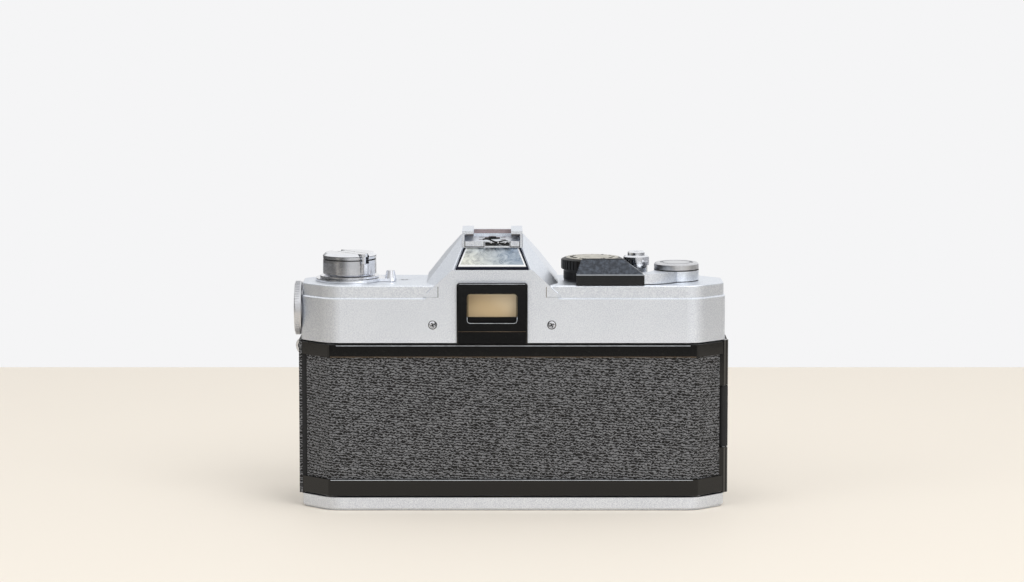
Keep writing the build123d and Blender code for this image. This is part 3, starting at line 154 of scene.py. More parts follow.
class Finish:
    """A surface finish: one shader, its fixed sockets, and the patterns that feed it."""

    def __init__(self, name, colour, roughness, metallic=0.0, **fixed):
        self.material = bpy.data.materials.new(name)
        self.material.use_nodes = True
        self.tree = self.material.node_tree
        self.shader = self.tree.nodes["Principled BSDF"]
        self.shader.inputs["Base Color"].default_value = colour
        self.shader.inputs["Roughness"].default_value = roughness
        self.shader.inputs["Metallic"].default_value = metallic
        for socket, value in fixed.items():
            self.shader.inputs[socket.replace("_", " ")].default_value = value
        self.place = self.node("ShaderNodeTexCoord", output="Object")

    def node(self, kind, settings=(), values=(), output=0):
        """Reading of any node."""
        plain = {socket: getattr(value, "socket", value) for socket, value in dict(values).items()}
        return Reading(self, placed_node(self.tree, kind, settings, plain, output))

    def along(self, axis):
        """Object coordinate X, Y or Z, in millimetres."""
        return self.node("ShaderNodeSeparateXYZ", (), {0: self.place}, axis) * (1 / MM)

    def stretched(self, scale, turn=(0.0, 0.0, 0.0)):
        """Object coordinates scaled apart, so that a pattern runs one way."""
        values = {"Vector": self.place, "Rotation": turn, "Scale": scale}
        return self.node("ShaderNodeMapping", (), values)

    def noise(self, per_mm, detail=2.0, rough=0.5, place=None, swirl=0.0):
        values = {
            "Vector": place or self.place, "Scale": per_mm / MM, "Detail": detail, "Roughness": rough,
            "Distortion": swirl,
        }
        return self.node("ShaderNodeTexNoise", (), values)

    def blend(self, mask, first, second):
        """Colour that goes from first to second with the mask."""
        return self.node("ShaderNodeMix", {"data_type": "RGBA"}, {0: mask, 6: first, 7: second}, 2)

    def feed(self, socket, reading):
        self.tree.links.new(reading.socket, self.shader.inputs[socket])
        return self

    def relief(self, height, depth_mm, strength=1.0):
        """Bump from a height of 0 to 1, that deep."""
        values = {"Strength": strength, "Distance": depth_mm * MM, "Height": height}
        return self.feed("Normal", self.node("ShaderNodeBump", (), values))


def satin_chrome():
    """Fine-blasted and chromed brass: an even pearl grey with a tight grain."""
    finish = Finish("satin_chrome", tint(232, 233, 239), 0.42, 1.0)
    grain = finish.noise(3.4, 2.0, 0.6)
    cloud = finish.noise(0.035, 3.0, 0.5)
    speck = grain.rise(0.3, 0.7)
    shade = speck * 0.7 + cloud * 0.3
    finish.feed("Base Color", finish.blend(shade, tint(203, 208, 219), tint(247, 251, 255)))
    finish.feed("Roughness", 0.38 + grain * 0.1)
    return finish.relief(grain, 0.008, 0.5)


def polished_chrome():
    finish = Finish("polished_chrome", tint(222, 223, 227), 0.14, 1.0)
    smear = finish.noise(0.25, 4.0, 0.6)
    finish.feed("Base Color", finish.blend(smear, tint(218, 220, 226), tint(246, 247, 250)))
    finish.feed("Roughness", 0.08 + smear * 0.16)
    return finish.relief(finish.noise(0.5, 2.0), 0.01, 0.3)


def plate_with_painted_reflections():
    """Bright plate on the rear slope. Its colour is painted light: patchy painted reflections, creamy low on
    the left and bluish grey high on the right, a dark painted shadow of the groove along its foot and sides,
    and a painted highlight band just inside that.
    """
    finish = Finish("plate_with_painted_reflections", tint(196, 198, 202), 0.2, 1.0)
    mottle_and_painted_reflection = finish.noise(0.3, 5.0, 0.62, swirl=1.2).rise(0.36, 0.66)
    # painted reflection: creamy low on the left, bluish grey high on the right, patchy all over
    cream_reflection_share = finish.node("ShaderNodeMapRange", (), {
        "Value": finish.along("X") + finish.along("Z") * 0.9, "From Min": 66.0, "From Max": 82.0,
        "To Min": 1.0, "To Max": 0.0,
    })
    painted_cool_reflection = finish.blend(mottle_and_painted_reflection, tint(142, 156, 172), tint(192, 202, 213))
    painted_cream_reflection = finish.blend(mottle_and_painted_reflection, tint(200, 200, 192), tint(242, 242, 230))
    body = finish.blend(cream_reflection_share, painted_cool_reflection, painted_cream_reflection)
    height = finish.along("Z") - plate_low.z / MM
    # painted shadow of the groove along the foot and sides, and a painted highlight band just inside it
    foot = 1.0 - height.rise(0.95, 1.25)
    taper = (plate_high.x / MM - 9.2) * MM / (plate_high.z - plate_low.z)
    inset = plate_high.x / MM - height * taper - finish.along("X").size()
    painted_groove_shadow = 1.0 - (1.0 - foot) * inset.rise(0.3, 0.45)
    painted_highlight_band = 1.0 - inset.rise(0.7, 1.0) * height.rise(1.45, 1.8)
    with_painted_highlight_band = finish.blend(painted_highlight_band, body, tint(250, 250, 250))
    finish.feed("Base Color", finish.blend(painted_groove_shadow, with_painted_highlight_band, tint(24, 26, 40)))
    finish.feed("Roughness", 0.26 + mottle_and_painted_reflection * 0.14)
    return finish.relief(mottle_and_painted_reflection, 0.015, 0.4)


def gloss_lacquer():
    finish = Finish("gloss_lacquer", tint(6, 6, 6), 0.12, Specular_IOR_Level=0.4)
    orange_peel = finish.noise(0.55, 2.0)
    dust = finish.noise(1.3, 4.0, 0.7).rise(0.6, 0.72)
    finish.feed("Base Color", finish.blend(dust, tint(5, 5, 5), tint(18, 17, 17)))
    finish.feed("Roughness", 0.1 + dust * 0.12)
    return finish.relief(orange_peel, 0.012, 0.35)


def leatherette():
    """Embossed leather cloth: wavy creases that run across and part and meet, with fine pores."""
    finish = Finish("leatherette", tint(70, 69, 69), 0.55, Specular_IOR_Level=0.3)
    flow = finish.stretched((0.75, 0.75, 1.0), (0.0, -0.1, 0.0))
    crease = finish.node("ShaderNodeTexWave", {"bands_direction": "Z"}, {
        "Vector": flow, "Scale": 345.0, "Distortion": 6.5, "Detail": 1.0, "Detail Scale": 3.6,
        "Detail Roughness": 0.6,
    }, 1)
    pore = finish.noise(3.0, 1.0, 0.6, finish.stretched((0.7, 0.7, 1.0)))
    height = crease * 0.38 + pore * 0.62
    # painted light: the colour puts painted shade in the creases and pores and painted highlights on the
    # raised grain
    painted_relief_light = height.rise(0.38, 0.7)
    finish.feed("Base Color", finish.blend(painted_relief_light, tint(8, 7, 7), tint(120, 121, 124)))
    finish.feed("Roughness", 0.62 - painted_relief_light * 0.16)
    return finish.relief(height, 0.4, 0.8)


def black_anodised(name, light):
    black, worn = tint(light, light, light + 1), tint(light + 26, light + 25, light + 24)
    finish = Finish(name, black, 0.36, 0.55)
    grain = finish.noise(1.6, 3.0, 0.6)
    wear = finish.noise(0.22, 5.0, 0.7).rise(0.6, 0.78)
    finish.feed("Base Color", finish.blend(wear, black, worn))
    finish.feed("Roughness", 0.3 + grain * 0.16)
    return finish.relief(grain, 0.008, 0.4)


def flocked_black():
    """Matt black paint inside the body, which takes up stray light."""
    finish = Finish("flocked_black", tint(27, 27, 28), 0.82)
    grain = finish.noise(2.2, 3.0, 0.7)
    finish.feed("Base Color", finish.blend(grain, tint(18, 18, 19), tint(38, 38, 40)))
    return finish.relief(grain, 0.03, 0.6)


def moulded_black():
    finish = Finish("moulded_black", tint(14, 15, 18), 0.2, Specular_IOR_Level=0.4)
    mist = finish.noise(0.8, 3.0, 0.6)
    finish.feed("Base Color", finish.blend(mist, tint(10, 11, 14), tint(20, 21, 25)))
    finish.feed("Roughness", 0.14 + mist * 0.14)
    return finish.relief(mist, 0.01, 0.3)


def lever_black():
    """Glossy moulding: dark wall, a patchy painted bluish sheen on the slope above it, a painted highlight
    along the edge between them, and near-black above 8.1 mm.
    """
    finish = Finish("lever_black", tint(20, 22, 26), 0.2)
    mist = finish.noise(0.7, 4.0, 0.65)
    height = finish.along("Z") - deck_z / MM
    # painted sheen: the slope is painted lighter and bluer than the wall
    slope = finish.blend(mist.rise(0.35, 0.75), tint(30, 35, 44), tint(74, 82, 94))
    body = finish.blend(height.rise(3.4, 3.6), tint(10, 11, 13), slope)
    # painted highlight along the edge between wall and slope
    edge = 1.0 - (height - 3.5).size().rise(0.05, 0.25)
    with_painted_edge_highlight = finish.blend(edge, body, tint(150, 154, 160))
    finish.feed("Base Color", finish.blend(height.rise(8.1, 8.3), with_painted_edge_highlight, tint(8, 8, 9)))
    finish.feed("Roughness", 0.16 + mist * 0.16)
    return finish.relief(mist, 0.01, 0.3)


def turned_alloy():
    """Aluminium with the lathe's fine rings."""
    finish = Finish("turned_alloy", tint(206, 207, 210), 0.3, 1.0)
    rings = finish.noise(1.4, 2.0, 0.5, finish.stretched((1.0, 6.0, 1.0)))
    finish.feed("Base Color", finish.blend(rings, tint(190, 191, 195), tint(224, 225, 228)))
    finish.feed("Roughness", 0.24 + rings * 0.14)
    return finish.relief(rings, 0.01, 0.4)


def bare_steel():
    finish = Finish("bare_steel", tint(172, 172, 176), 0.32, 1.0)
    draw = finish.noise(0.9, 3.0, 0.6, finish.stretched((0.25, 1.0, 3.0)))
    finish.feed("Base Color", finish.blend(draw, tint(150, 150, 155), tint(196, 196, 199)))
    finish.feed("Roughness", 0.22 + draw * 0.2)
    return finish.relief(draw, 0.008, 0.4)


def bush_brass():
    finish = Finish("bush_brass", tint(196, 166, 104), 0.3, 1.0)
    tarnish = finish.noise(0.5, 4.0, 0.6).rise(0.4, 0.7)
    finish.feed("Base Color", finish.blend(tarnish, tint(204, 174, 110), tint(150, 120, 72)))
    finish.feed("Roughness", 0.24 + tarnish * 0.2)
    return finish.relief(tarnish, 0.01, 0.3)


def curtain_cloth():
    """Rubberised cloth with a fine plain weave."""
    finish = Finish("curtain_cloth", tint(24, 24, 26), 0.7)
    threads = {"Vector": finish.place, "Scale": 1200.0}
    across = finish.node("ShaderNodeTexWave", {"bands_direction": "X"}, threads)
    upward = finish.node("ShaderNodeTexWave", {"bands_direction": "Z"}, threads)
    weave = across * upward
    finish.feed("Base Color", finish.blend(weave, tint(17, 17, 19), tint(38, 38, 41)))
    return finish.relief(weave, 0.03, 0.5)


def pale_paint(name, colour):
    """Filled markings; also flat painted reflection and painted shadow."""
    finish = Finish(name, colour, 0.5)
    chip = finish.noise(1.5, 3.0, 0.6)
    finish.feed("Base Color", finish.blend(chip.rise(0.45, 0.8), colour, darkened(colour, 0.72)))
    return finish


def painted_sheen(name, colour):
    """Painted highlight or reflection on an edge or face: a flat colour with a soft shine, patchy along its
    length.
    """
    finish = Finish(name, colour, 0.4, 0.35)
    uneven_sheen = finish.noise(0.35, 3.0, 0.6)
    finish.feed("Base Color", finish.blend(uneven_sheen.rise(0.35, 0.7), colour, darkened(colour, 0.7)))
    finish.feed("Roughness", 0.3 + uneven_sheen * 0.2)
    return finish


def lens_glass(name, colour, coat):
    """Coated glass: dark, clear, with a coloured sheen."""
    finish = Finish(
        name, colour, 0.03, Transmission_Weight=0.85, IOR=1.6, Coat_Weight=1.0, Coat_Tint=coat,
    )
    bloom = finish.noise(0.05, 2.0, 0.5)
    finish.feed("Base Color", finish.blend(bloom, colour, coat))
    return finish


def eyepiece_glass():
    """The finder's window, its colour painted with the light that comes back through the prism, lighter
    towards one corner.
    """
    finish = Finish("eyepiece_glass", tint(204, 180, 142), 0.1, Coat_Weight=0.3)
    x, z = finish.along("X"), finish.along("Z")
    centre_z = middle("eyepiece_lens").z / MM
    corner = (x * 0.05 + (z - centre_z) * 0.09 + finish.noise(0.12, 2.0) * 0.4).rise(0.0, 1.0)
    finish.feed("Base Color", finish.blend(corner, tint(218, 193, 152), tint(247, 229, 196)))
    finish.feed("Roughness", 0.06 + corner * 0.1)
    return finish


def silvered_mirror():
    finish = Finish("silvered_mirror", tint(226, 229, 232), 0.04, 1.0)
    dust = finish.noise(2.0, 5.0, 0.7).rise(0.62, 0.75)
    finish.feed("Base Color", finish.blend(dust, tint(228, 231, 234), tint(196, 196, 192)))
    finish.feed("Roughness", 0.03 + dust * 0.2)
    return finish


SATIN = satin_chrome().material
BRIGHT = polished_chrome().material
PLATE = plate_with_painted_reflections().material
LACQUER = gloss_lacquer().material
LEATHER = leatherette().material
BARREL = black_anodised("barrel_black", 26).material
GRIP = black_anodised("grip_black", 20).material
FLOCK = flocked_black().material
MOULDED = moulded_black().material
ALLOY = turned_alloy().material
STEEL = bare_steel().material
BRASS = bush_brass().material
CLOTH = curtain_cloth().material
WHITE = pale_paint("white_fill", tint(232, 231, 226)).material
BLACK_FILL = pale_paint("black_fill", tint(24, 24, 25)).material
ORANGE = pale_paint("orange_fill", tint(214, 120, 46)).material
# a flat painted reflection for the stop's face
PAINTED_STOP_REFLECTION = pale_paint("stop_face_painted_reflection", tint(160, 143, 144)).material
LEVER = lever_black().material
# painted shadow for the cavities at the ends of the shoe's stop
PAINTED_CAVITY_SHADOW = pale_paint("cavity_painted_shadow", tint(74, 60, 52)).material
# painted highlights and a brownish painted reflection, for thin lines along edges
PAINTED_HIGHLIGHT = painted_sheen("painted_sheen", tint(196, 202, 210)).material
PAINTED_BROWN_REFLECTION = painted_sheen("painted_brown_sheen", tint(104, 88, 70)).material
# the speed dial's face: a light grey that carries a painted highlight
DIAL_FACE = painted_sheen("dial_face", tint(186, 182, 170)).material
FRONT_GLASS = lens_glass("front_glass", tint(60, 62, 74), tint(120, 96, 150)).material
REAR_GLASS = lens_glass("rear_glass", tint(64, 66, 62), tint(150, 140, 96)).material
CLEAR_GLASS = lens_glass("clear_glass", tint(196, 204, 206), tint(220, 226, 228)).material
FINDER = eyepiece_glass().material
MIRROR = silvered_mirror().material

DRESS = [
    (SATIN, ["top_cover", "base_cover", "accessory_shoe", "advance_lever", "shoe_spring"]),
    (ALLOY, ["lever_cap", "battery_cover", "breech_ring"]),
    (PLATE, ["prism_plate"]),
    (BRIGHT, ["rewind_knob", "rewind_crank", "rewind_collar", "meter_switch", "release_button",
        "release_lock_ring", "cover_screws", "strap_lugs", "sync_socket", "self_timer_lever"]),
    (FLOCK, ["gate_frame", "cassette_end", "spool_end", "mirror_box", "prism_cradle", "mirror_frame"]),
    (LACQUER, ["back_door", "eyepiece_frame"]),
    (LEATHER, ["door_leather", "front_leather"]),
    (BARREL, ["lens_barrel", "front_barrel"]),
    (GRIP, ["aperture_ring", "focus_ring", "film_speed_ring", "speed_dial", "pressure_plate"]),
    (LEVER, ["lever_tip"]),
    (MOULDED, ["sprocket", "takeup_spool", "battery_holder", "shoe_contact", "counter_dial"]),
    (STEEL, ["lens_mount", "base_screws", "hinge_pin", "latch_bar", "rewind_release", "curtain_drums",
        "pressure_spring", "battery", "iris_blades"]),
    (BRASS, ["tripod_bush"]),
    (CLOTH, ["shutter_curtain"]),
    (FRONT_GLASS, ["front_element"]),
    (REAR_GLASS, ["rear_element"]),
    (FINDER, ["eyepiece_lens"]),
    (CLEAR_GLASS, ["counter_window", "focusing_screen", "pentaprism"]),
    (MIRROR, ["mirror"]),
]
for material, node_names in DRESS:
    for node_name in node_names:
        NODES[node_name].data.materials.clear()
        NODES[node_name].data.materials.append(material)


# ------------------------------------------------------------ making pieces
def add_piece(name, mesh, body):
    """A finished mesh becomes a piece that rides on a body."""
    piece = bpy.data.objects.new(name, mesh)
    bpy.context.scene.collection.objects.link(piece)
    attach(piece, body)


def add_joined(name, meshes, body):
    add_piece(name, joined(name, *meshes), body)


def plain_mesh(holder, place):
    """A holder's evaluated mesh, moved to its place; the holder goes."""
    view = bpy.context.evaluated_depsgraph_get()
    mesh = bpy.data.meshes.new_from_object(holder.evaluated_get(view), depsgraph=view)
    bpy.data.objects.remove(holder)
    mesh.transform(place)
    return mesh


def shaped_mesh(name, shape, material):
    """Mesh of a shape that was built vertex by vertex."""
    mesh = bpy.data.meshes.new(name)
    shape.to_mesh(mesh)
    shape.free()
    mesh.materials.append(material)
    return mesh


def skin(shape, pairs):
    """Bands of four-sided faces between pairs of vertex rings."""
    for low, high in pairs:
        for s in range(len(low)):
            n = (s + 1) % len(low)
            shape.faces.new((low[s], low[n], high[n], high[s]))


class NodeTree:
    """A Geometry Nodes tree written as calls, with named inputs for its sizes."""

    def __init__(self, name, inputs):
        self.group = bpy.data.node_groups.new(name, "GeometryNodeTree")
        self.group.interface.new_socket("Geometry", in_out="OUTPUT", socket_type="NodeSocketGeometry")
        self.sockets = {}
        for label, (kind, value) in inputs.items():
            socket = self.group.interface.new_socket(label, in_out="INPUT", socket_type=kind)
            if value is not None:
                socket.default_value = value
            self.sockets[label] = socket.identifier
        self.entry = self.group.nodes.new("NodeGroupInput")
        self.exit = self.group.nodes.new("NodeGroupOutput")

    def size(self, label):
        return self.entry.outputs[label]

    def node(self, kind, settings=(), values=(), output=0):
        return placed_node(self.group, kind, settings, values, output)

    def maths(self, operation, *values):
        return self.node("ShaderNodeMath", {"operation": operation}, dict(enumerate(values)))

    def finish(self, geometry, material):
        solid = self.node("GeometryNodeRealizeInstances", (), {0: geometry})
        painted = self.node("GeometryNodeSetMaterial", (), {"Geometry": solid, "Material": material})
        self.group.links.new(painted, self.exit.inputs[0])
        return self

    def mesh(self, name, place, **sizes):
        """Plain mesh of the tree for these sizes, moved to its place."""
        holder = bpy.data.objects.new(name, bpy.data.meshes.new(name))
        bpy.context.scene.collection.objects.link(holder)
        modifier = holder.modifiers.new("tree", "NODES")
        modifier.node_group = self.group
        for label, value in sizes.items():
            modifier[self.sockets[label]] = value
        mesh = plain_mesh(holder, place)
        mesh.name = name
        return mesh


def round_points(tree):
    """Points round a circle, with the angle of each."""
    step = tree.maths("DIVIDE", tree.size("Sweep"), tree.size("Count"))
    offset = tree.maths("MULTIPLY", tree.node("GeometryNodeInputIndex"), step)
    angle = tree.maths("ADD", offset, tree.size("Start"))
    cosine, sine = tree.maths("COSINE", angle), tree.maths("SINE", angle)
    unit = tree.node("ShaderNodeCombineXYZ", (), {0: cosine, 1: sine})
    spot = tree.node("ShaderNodeVectorMath", {"operation": "SCALE"}, {0: unit, "Scale": tree.size("Radius")})
    return tree.node("GeometryNodePoints", (), {"Count": tree.size("Count"), "Position": spot}), angle


ROUND = {
    "Radius": ("NodeSocketFloat", 0.01), "Count": ("NodeSocketInt", 60), "Height": ("NodeSocketFloat", 0.002),
    "Start": ("NodeSocketFloat", 0.0), "Sweep": ("NodeSocketFloat", math.tau),
}


def rib_band_tree(material):
    """Ribs stood round a circle, each a bar with its back sunk into the ring that carries it."""
    tree = NodeTree("rib_band_" + material.name, {
        **ROUND, "Width": ("NodeSocketFloat", 0.0003), "Depth": ("NodeSocketFloat", 0.0004),
    })
    points, angle = round_points(tree)
    edges = {0: tree.size("Depth"), 1: tree.size("Width"), 2: tree.size("Height")}
    size = tree.node("ShaderNodeCombineXYZ", (), edges)
    rib = tree.node("GeometryNodeMeshCube", (), {"Size": size})
    turn = tree.node("ShaderNodeCombineXYZ", (), {2: angle})
    stood = {"Points": points, "Instance": rib, "Rotation": turn}
    return tree.finish(tree.node("GeometryNodeInstanceOnPoints", (), stood), material)


def stud_ring_tree(material):
    """Short round studs set in a circle, their ends along its axis."""
    tree = NodeTree("stud_ring_" + material.name, {**ROUND, "Stud": ("NodeSocketFloat", 0.0008)})
    points, angle = round_points(tree)
    stud = tree.node("GeometryNodeMeshCylinder", {"fill_type": "NGON"}, {
        "Vertices": 20, "Radius": tree.size("Stud"), "Depth": tree.size("Height"),
    })
    studs = tree.node("GeometryNodeInstanceOnPoints", (), {"Points": points, "Instance": stud})
    return tree.finish(studs, material)


def stud_grid_tree(material):
    """Short round studs in rows."""
    tree = NodeTree("stud_grid_" + material.name, {
        "Across": ("NodeSocketFloat", 0.05), "Along": ("NodeSocketFloat", 0.03),
        "Columns": ("NodeSocketInt", 9), "Rows": ("NodeSocketInt", 5),
        "Stud": ("NodeSocketFloat", 0.0005), "Height": ("NodeSocketFloat", 0.0001),
    })
    rows = tree.node("GeometryNodeMeshGrid", (), {
        "Size X": tree.size("Across"), "Size Y": tree.size("Along"), "Vertices X": tree.size("Columns"),
        "Vertices Y": tree.size("Rows"),
    })
    stud = tree.node("GeometryNodeMeshCylinder", {"fill_type": "NGON"}, {
        "Vertices": 12, "Radius": tree.size("Stud"), "Depth": tree.size("Height"),
    })
    studs = tree.node("GeometryNodeInstanceOnPoints", (), {"Points": rows, "Instance": stud})
    return tree.finish(studs, material)


TREES = {}


def grown(maker, name, place, material, **sizes):
    """Mesh that one of the trees grows in a material, its lengths in metres."""
    if (maker, material.name) not in TREES:
        TREES[maker, material.name] = maker(material)
    return TREES[maker, material.name].mesh(name, place, **sizes)


def ribs(name, place, material, radius, count, width, height, depth, start=0.0, sweep=math.tau):
    """Mesh of a band of ribs, its sizes in millimetres."""
    return grown(
        rib_band_tree, name, place, material, Radius=radius * MM, Count=count, Width=width * MM,
        Height=height * MM, Depth=depth * MM, Start=start, Sweep=sweep,
    )


def studs(name, place, material, radius, count, stud, height, start=0.0):
    """Mesh of a ring of studs, its sizes in millimetres."""
    return grown(
        stud_ring_tree, name, place, material, Radius=radius * MM, Count=count, Stud=stud * MM,
        Height=height * MM, Start=start, Sweep=math.tau,
    )


def joined(name, *meshes):
    """Several meshes as one, with their materials kept apart."""
    whole = bmesh.new()
    materials = []
    for mesh in meshes:
        for material in mesh.materials:
            if material not in materials:
                materials.append(material)
    for mesh in meshes:
        first = len(whole.faces)
        whole.from_mesh(mesh)
        whole.faces.ensure_lookup_table()
        for face in whole.faces[first:]:
            face.material_index = materials.index(mesh.materials[face.material_index])
    result = bpy.data.meshes.new(name)
    whole.to_mesh(result)
    whole.free()
    for material in materials:
        result.materials.append(material)
    for mesh in meshes:
        bpy.data.meshes.remove(mesh)
    return result


def lettering(text, size, place, material, thickness=0.04):
    """Raised figures that lie on a surface, its middle at the place."""
    curve = bpy.data.curves.new("figures", "FONT")
    curve.body = text
    curve.size = size * MM
    curve.align_x, curve.align_y = "CENTER", "CENTER"
    curve.extrude = thickness * MM
    curve.resolution_u = 3
    holder = bpy.data.objects.new("figures", curve)
    bpy.context.scene.collection.objects.link(holder)
    mesh = plain_mesh(holder, place)
    bpy.data.curves.remove(curve)
    mesh.materials.clear()
    mesh.materials.append(material)
    return mesh


def figures_round(texts, size, centre, radius, height, material, start, step):
    """Figures set round a dial's face, read from outside it."""
    meshes = []
    for place, text in enumerate(texts):
        angle = math.radians(start + step * place)
        spot = centre + Vector((math.cos(angle) * radius, math.sin(angle) * radius, height)) * MM
        turn = Matrix.Rotation(angle + math.pi / 2, 4, "Z")
        meshes.append(lettering(text, size, Matrix.Translation(spot) @ turn, material))
    return meshes


def figures_on_barrel(texts, size, centre, radius, material, start, step):
    """Figures set round a lens ring, read from the camera's rear."""
    meshes = []
    for place, text in enumerate(texts):
        angle = math.radians(start + step * place)
        out = Vector((math.sin(angle), 0, math.cos(angle)))
        across = Vector((math.cos(angle), 0, -math.sin(angle)))
        spot = centre + out * radius * MM
        meshes.append(lettering(text, size, frame_at(spot, across, out), material))
    return meshes


def lathe(name, outline, place, material, segments=96):
    """Mesh turned from an outline of (radius, height) in millimetres, closed on itself."""
    shape = bmesh.new()
    rings = []
    for radius, height in outline:
        rings.append([
            shape.verts.new(Vector((math.cos(t) * radius, math.sin(t) * radius, height)) * MM)
            for t in (math.tau * s / segments for s in range(segments))
        ])
    skin(shape, zip(rings, rings[1:] + rings[:1]))
    bmesh.ops.remove_doubles(shape, verts=shape.verts, dist=1e-7)
    bmesh.ops.recalc_face_normals(shape, faces=shape.faces)
    mesh = shaped_mesh(name, shape, material)
    mesh.transform(place)
    return mesh


def bar(name, low, high, material):
    """Box between two corners in millimetres."""
    low, high = Vector(low), Vector(high)
    shape = bmesh.new()
    bmesh.ops.create_cube(shape, size=1.0)
    for vert in shape.verts:
        vert.co = Vector(((low[i] + high[i]) / 2 + vert.co[i] * (high[i] - low[i]) for i in range(3))) * MM
    return shaped_mesh(name, shape, material)


def wire(name, points, radius, material, sides=10):
    """Round wire along points in millimetres, closed at its ends."""
    shape = bmesh.new()
    points = [Vector(point) * MM for point in points]
    rings = []
    for place, point in enumerate(points):
        ahead = points[min(place + 1, len(points) - 1)] - points[max(place - 1, 0)]
        across = ahead.cross(FORWARD if abs(ahead.normalized().y) < 0.9 else UP).normalized()
        other = ahead.cross(across).normalized()
        rings.append([
            shape.verts.new(point + (across * math.cos(t) + other * math.sin(t)) * radius * MM)
            for t in (math.tau * s / sides for s in range(sides))
        ])
    skin(shape, zip(rings, rings[1:]))
    shape.faces.new(rings[0])
    shape.faces.new(rings[-1])
    bmesh.ops.recalc_face_normals(shape, faces=shape.faces)
    for face in shape.faces:
        face.smooth = len(face.verts) == 4
    return shaped_mesh(name, shape, material)


# ------------------------------------------------------------ lens
lens_place = frame_at(Vector((0, 0, lens_axis_z)), -RIGHT, FORWARD)


def lens_ribs(node, material, low_in, high_in, count, width, depth, proud):
    """Grip ribs on a lens ring, between two insets from its edges."""
    low, high = corners(node)
    y0, y1 = low.y / MM + low_in, high.y / MM - high_in
    place = lens_place @ Matrix.Translation(Vector((0, 0, (y0 + y1) / 2)) * MM)
    outer = radius_of(node, "z") + proud
    return ribs(node + "_ribs", place, material, outer - depth / 2, count, width, y1 - y0, depth)


breech_grip = lens_ribs("breech_ring", ALLOY, 0.8, 0.8, 84, 1.0, 0.6, 0.15)
aperture_grip = lens_ribs("aperture_ring", GRIP, 0.7, 3.4, 72, 1.3, 0.8, 0.4)
focus_grip = lens_ribs("focus_ring", GRIP, 4.4, 1.0, 60, 1.9, 0.9, 0.6)
add_piece("breech_grip", breech_grip, "breech_ring")
add_piece("aperture_grip", aperture_grip, "aperture_ring")
add_piece("focus_grip", focus_grip, "focus_ring")

figure_proud = 0.02
aperture_front = corners("aperture_ring")[1].y
aperture_figures = figures_on_barrel(
    ["1.8", "2.8", "4", "5.6", "8", "11", "16"], 1.9, Vector((0, aperture_front - 1.9 * MM, lens_axis_z)),
    radius_of("aperture_ring", "z") + figure_proud, WHITE, 0.0, -12.0,
)
add_joined("aperture_figures", aperture_figures, "aperture_ring")

focus_rear = corners("focus_ring")[0].y
distance_figures = figures_on_barrel(
    ["0.6", "0.7", "0.8", "1", "1.2", "1.5", "2", "3", "5", "10"], 1.7,
    Vector((0, focus_rear + 2.3 * MM, lens_axis_z)), radius_of("focus_ring", "z") + figure_proud, WHITE,
    -190.0, 20.0,
)
add_joined("distance_figures", distance_figures, "focus_ring")

# depth-of-field lines on the fixed tube, shorter towards the ends of the scale
scale_radius = radius_of("lens_barrel", "z")
scale_place = lens_place @ Matrix.Translation((0, 0, (aperture_front + focus_rear) / 2))
depth_lines = [
    ribs("depth_line", scale_place, WHITE, scale_radius, 1, 0.25, 2.6 - 0.15 * abs(step), 0.1,
         math.pi / 2 + step * 0.1)
    for step in range(-6, 7)
]
add_joined("depth_scale", depth_lines, "camera_body")

thread_radius = 27.25
thread_top = corners("front_barrel")[1].y / MM
filter_thread = [
    lathe("thread_ridge", [
        (thread_radius + 0.1, level - 0.2), (thread_radius - 0.3, level), (thread_radius + 0.1, level + 0.2),
    ], lens_place, BARREL)
    for level in (thread_top - 0.7 - 0.6 * turn for turn in range(5))
]
add_joined("filter_thread_ridges", filter_thread, "front_barrel")

# ------------------------------------------------------------ rewind end
knob_centre, knob_radius = axis_of("rewind_knob"), radius_of("rewind_knob")
knob_ribs = ribs(
    "knob_ribs", upright(knob_centre, deck_z + 4.4 * MM), BRIGHT, knob_radius - 0.1, 110, 0.3, 3.6, 0.24,
)
add_piece("knob_ribs", knob_ribs, "rewind_knob")

# painted shade: dark lines under the knob's crown and round its groove; they leave the crank's slot free
slot_free = [math.radians(-38 + 340 * s / 72) for s in range(73)]
knob_x, knob_y = knob_centre.x / MM, knob_centre.y / MM
crown_lines = [
    wire("crown_line", [
        (knob_x + radius * math.cos(a), knob_y + radius * math.sin(a), deck_z / MM + rise) for a in slot_free
    ], thickness, BLACK_FILL, 6)
    for rise, radius, thickness in ((8.5, knob_radius - 0.02, 0.09), (7.25, knob_radius - 0.3, 0.2))
]
add_joined("crown_lines", crown_lines, "rewind_knob")

battery_centre = middle("battery_cover")
battery_edge = Vector((corners("battery_cover")[0].x + 1.0 * MM, battery_centre.y, battery_centre.z))
battery_ribs = ribs(
    "battery_ribs", frame_at(battery_edge, FORWARD, RIGHT), ALLOY, radius_of("battery_cover", "z") - 0.05, 64,
    0.48, 1.5, 0.5,
)
add_piece("battery_ribs", battery_ribs, "battery_cover")

# back door: painted highlights along the top edges of its two lacquered strips, and a brownish painted
# reflection along the lower edge of the upper strip
rear = rear_y / MM
door_rims = [
    bar("rim_line", (low, rear - 0.03, z - 0.11), (high, rear + 0.05, z + 0.11), edge)
    for low, high, z, edge in (
        (-52.0, 66.0, 55.6, PAINTED_HIGHLIGHT), (-54.0, 68.0, 51.85, PAINTED_BROWN_REFLECTION), (-54.0, 67.0, 10.3, PAINTED_HIGHLIGHT),
    )
]
add_joined("rim_lines", door_rims, "back_door")

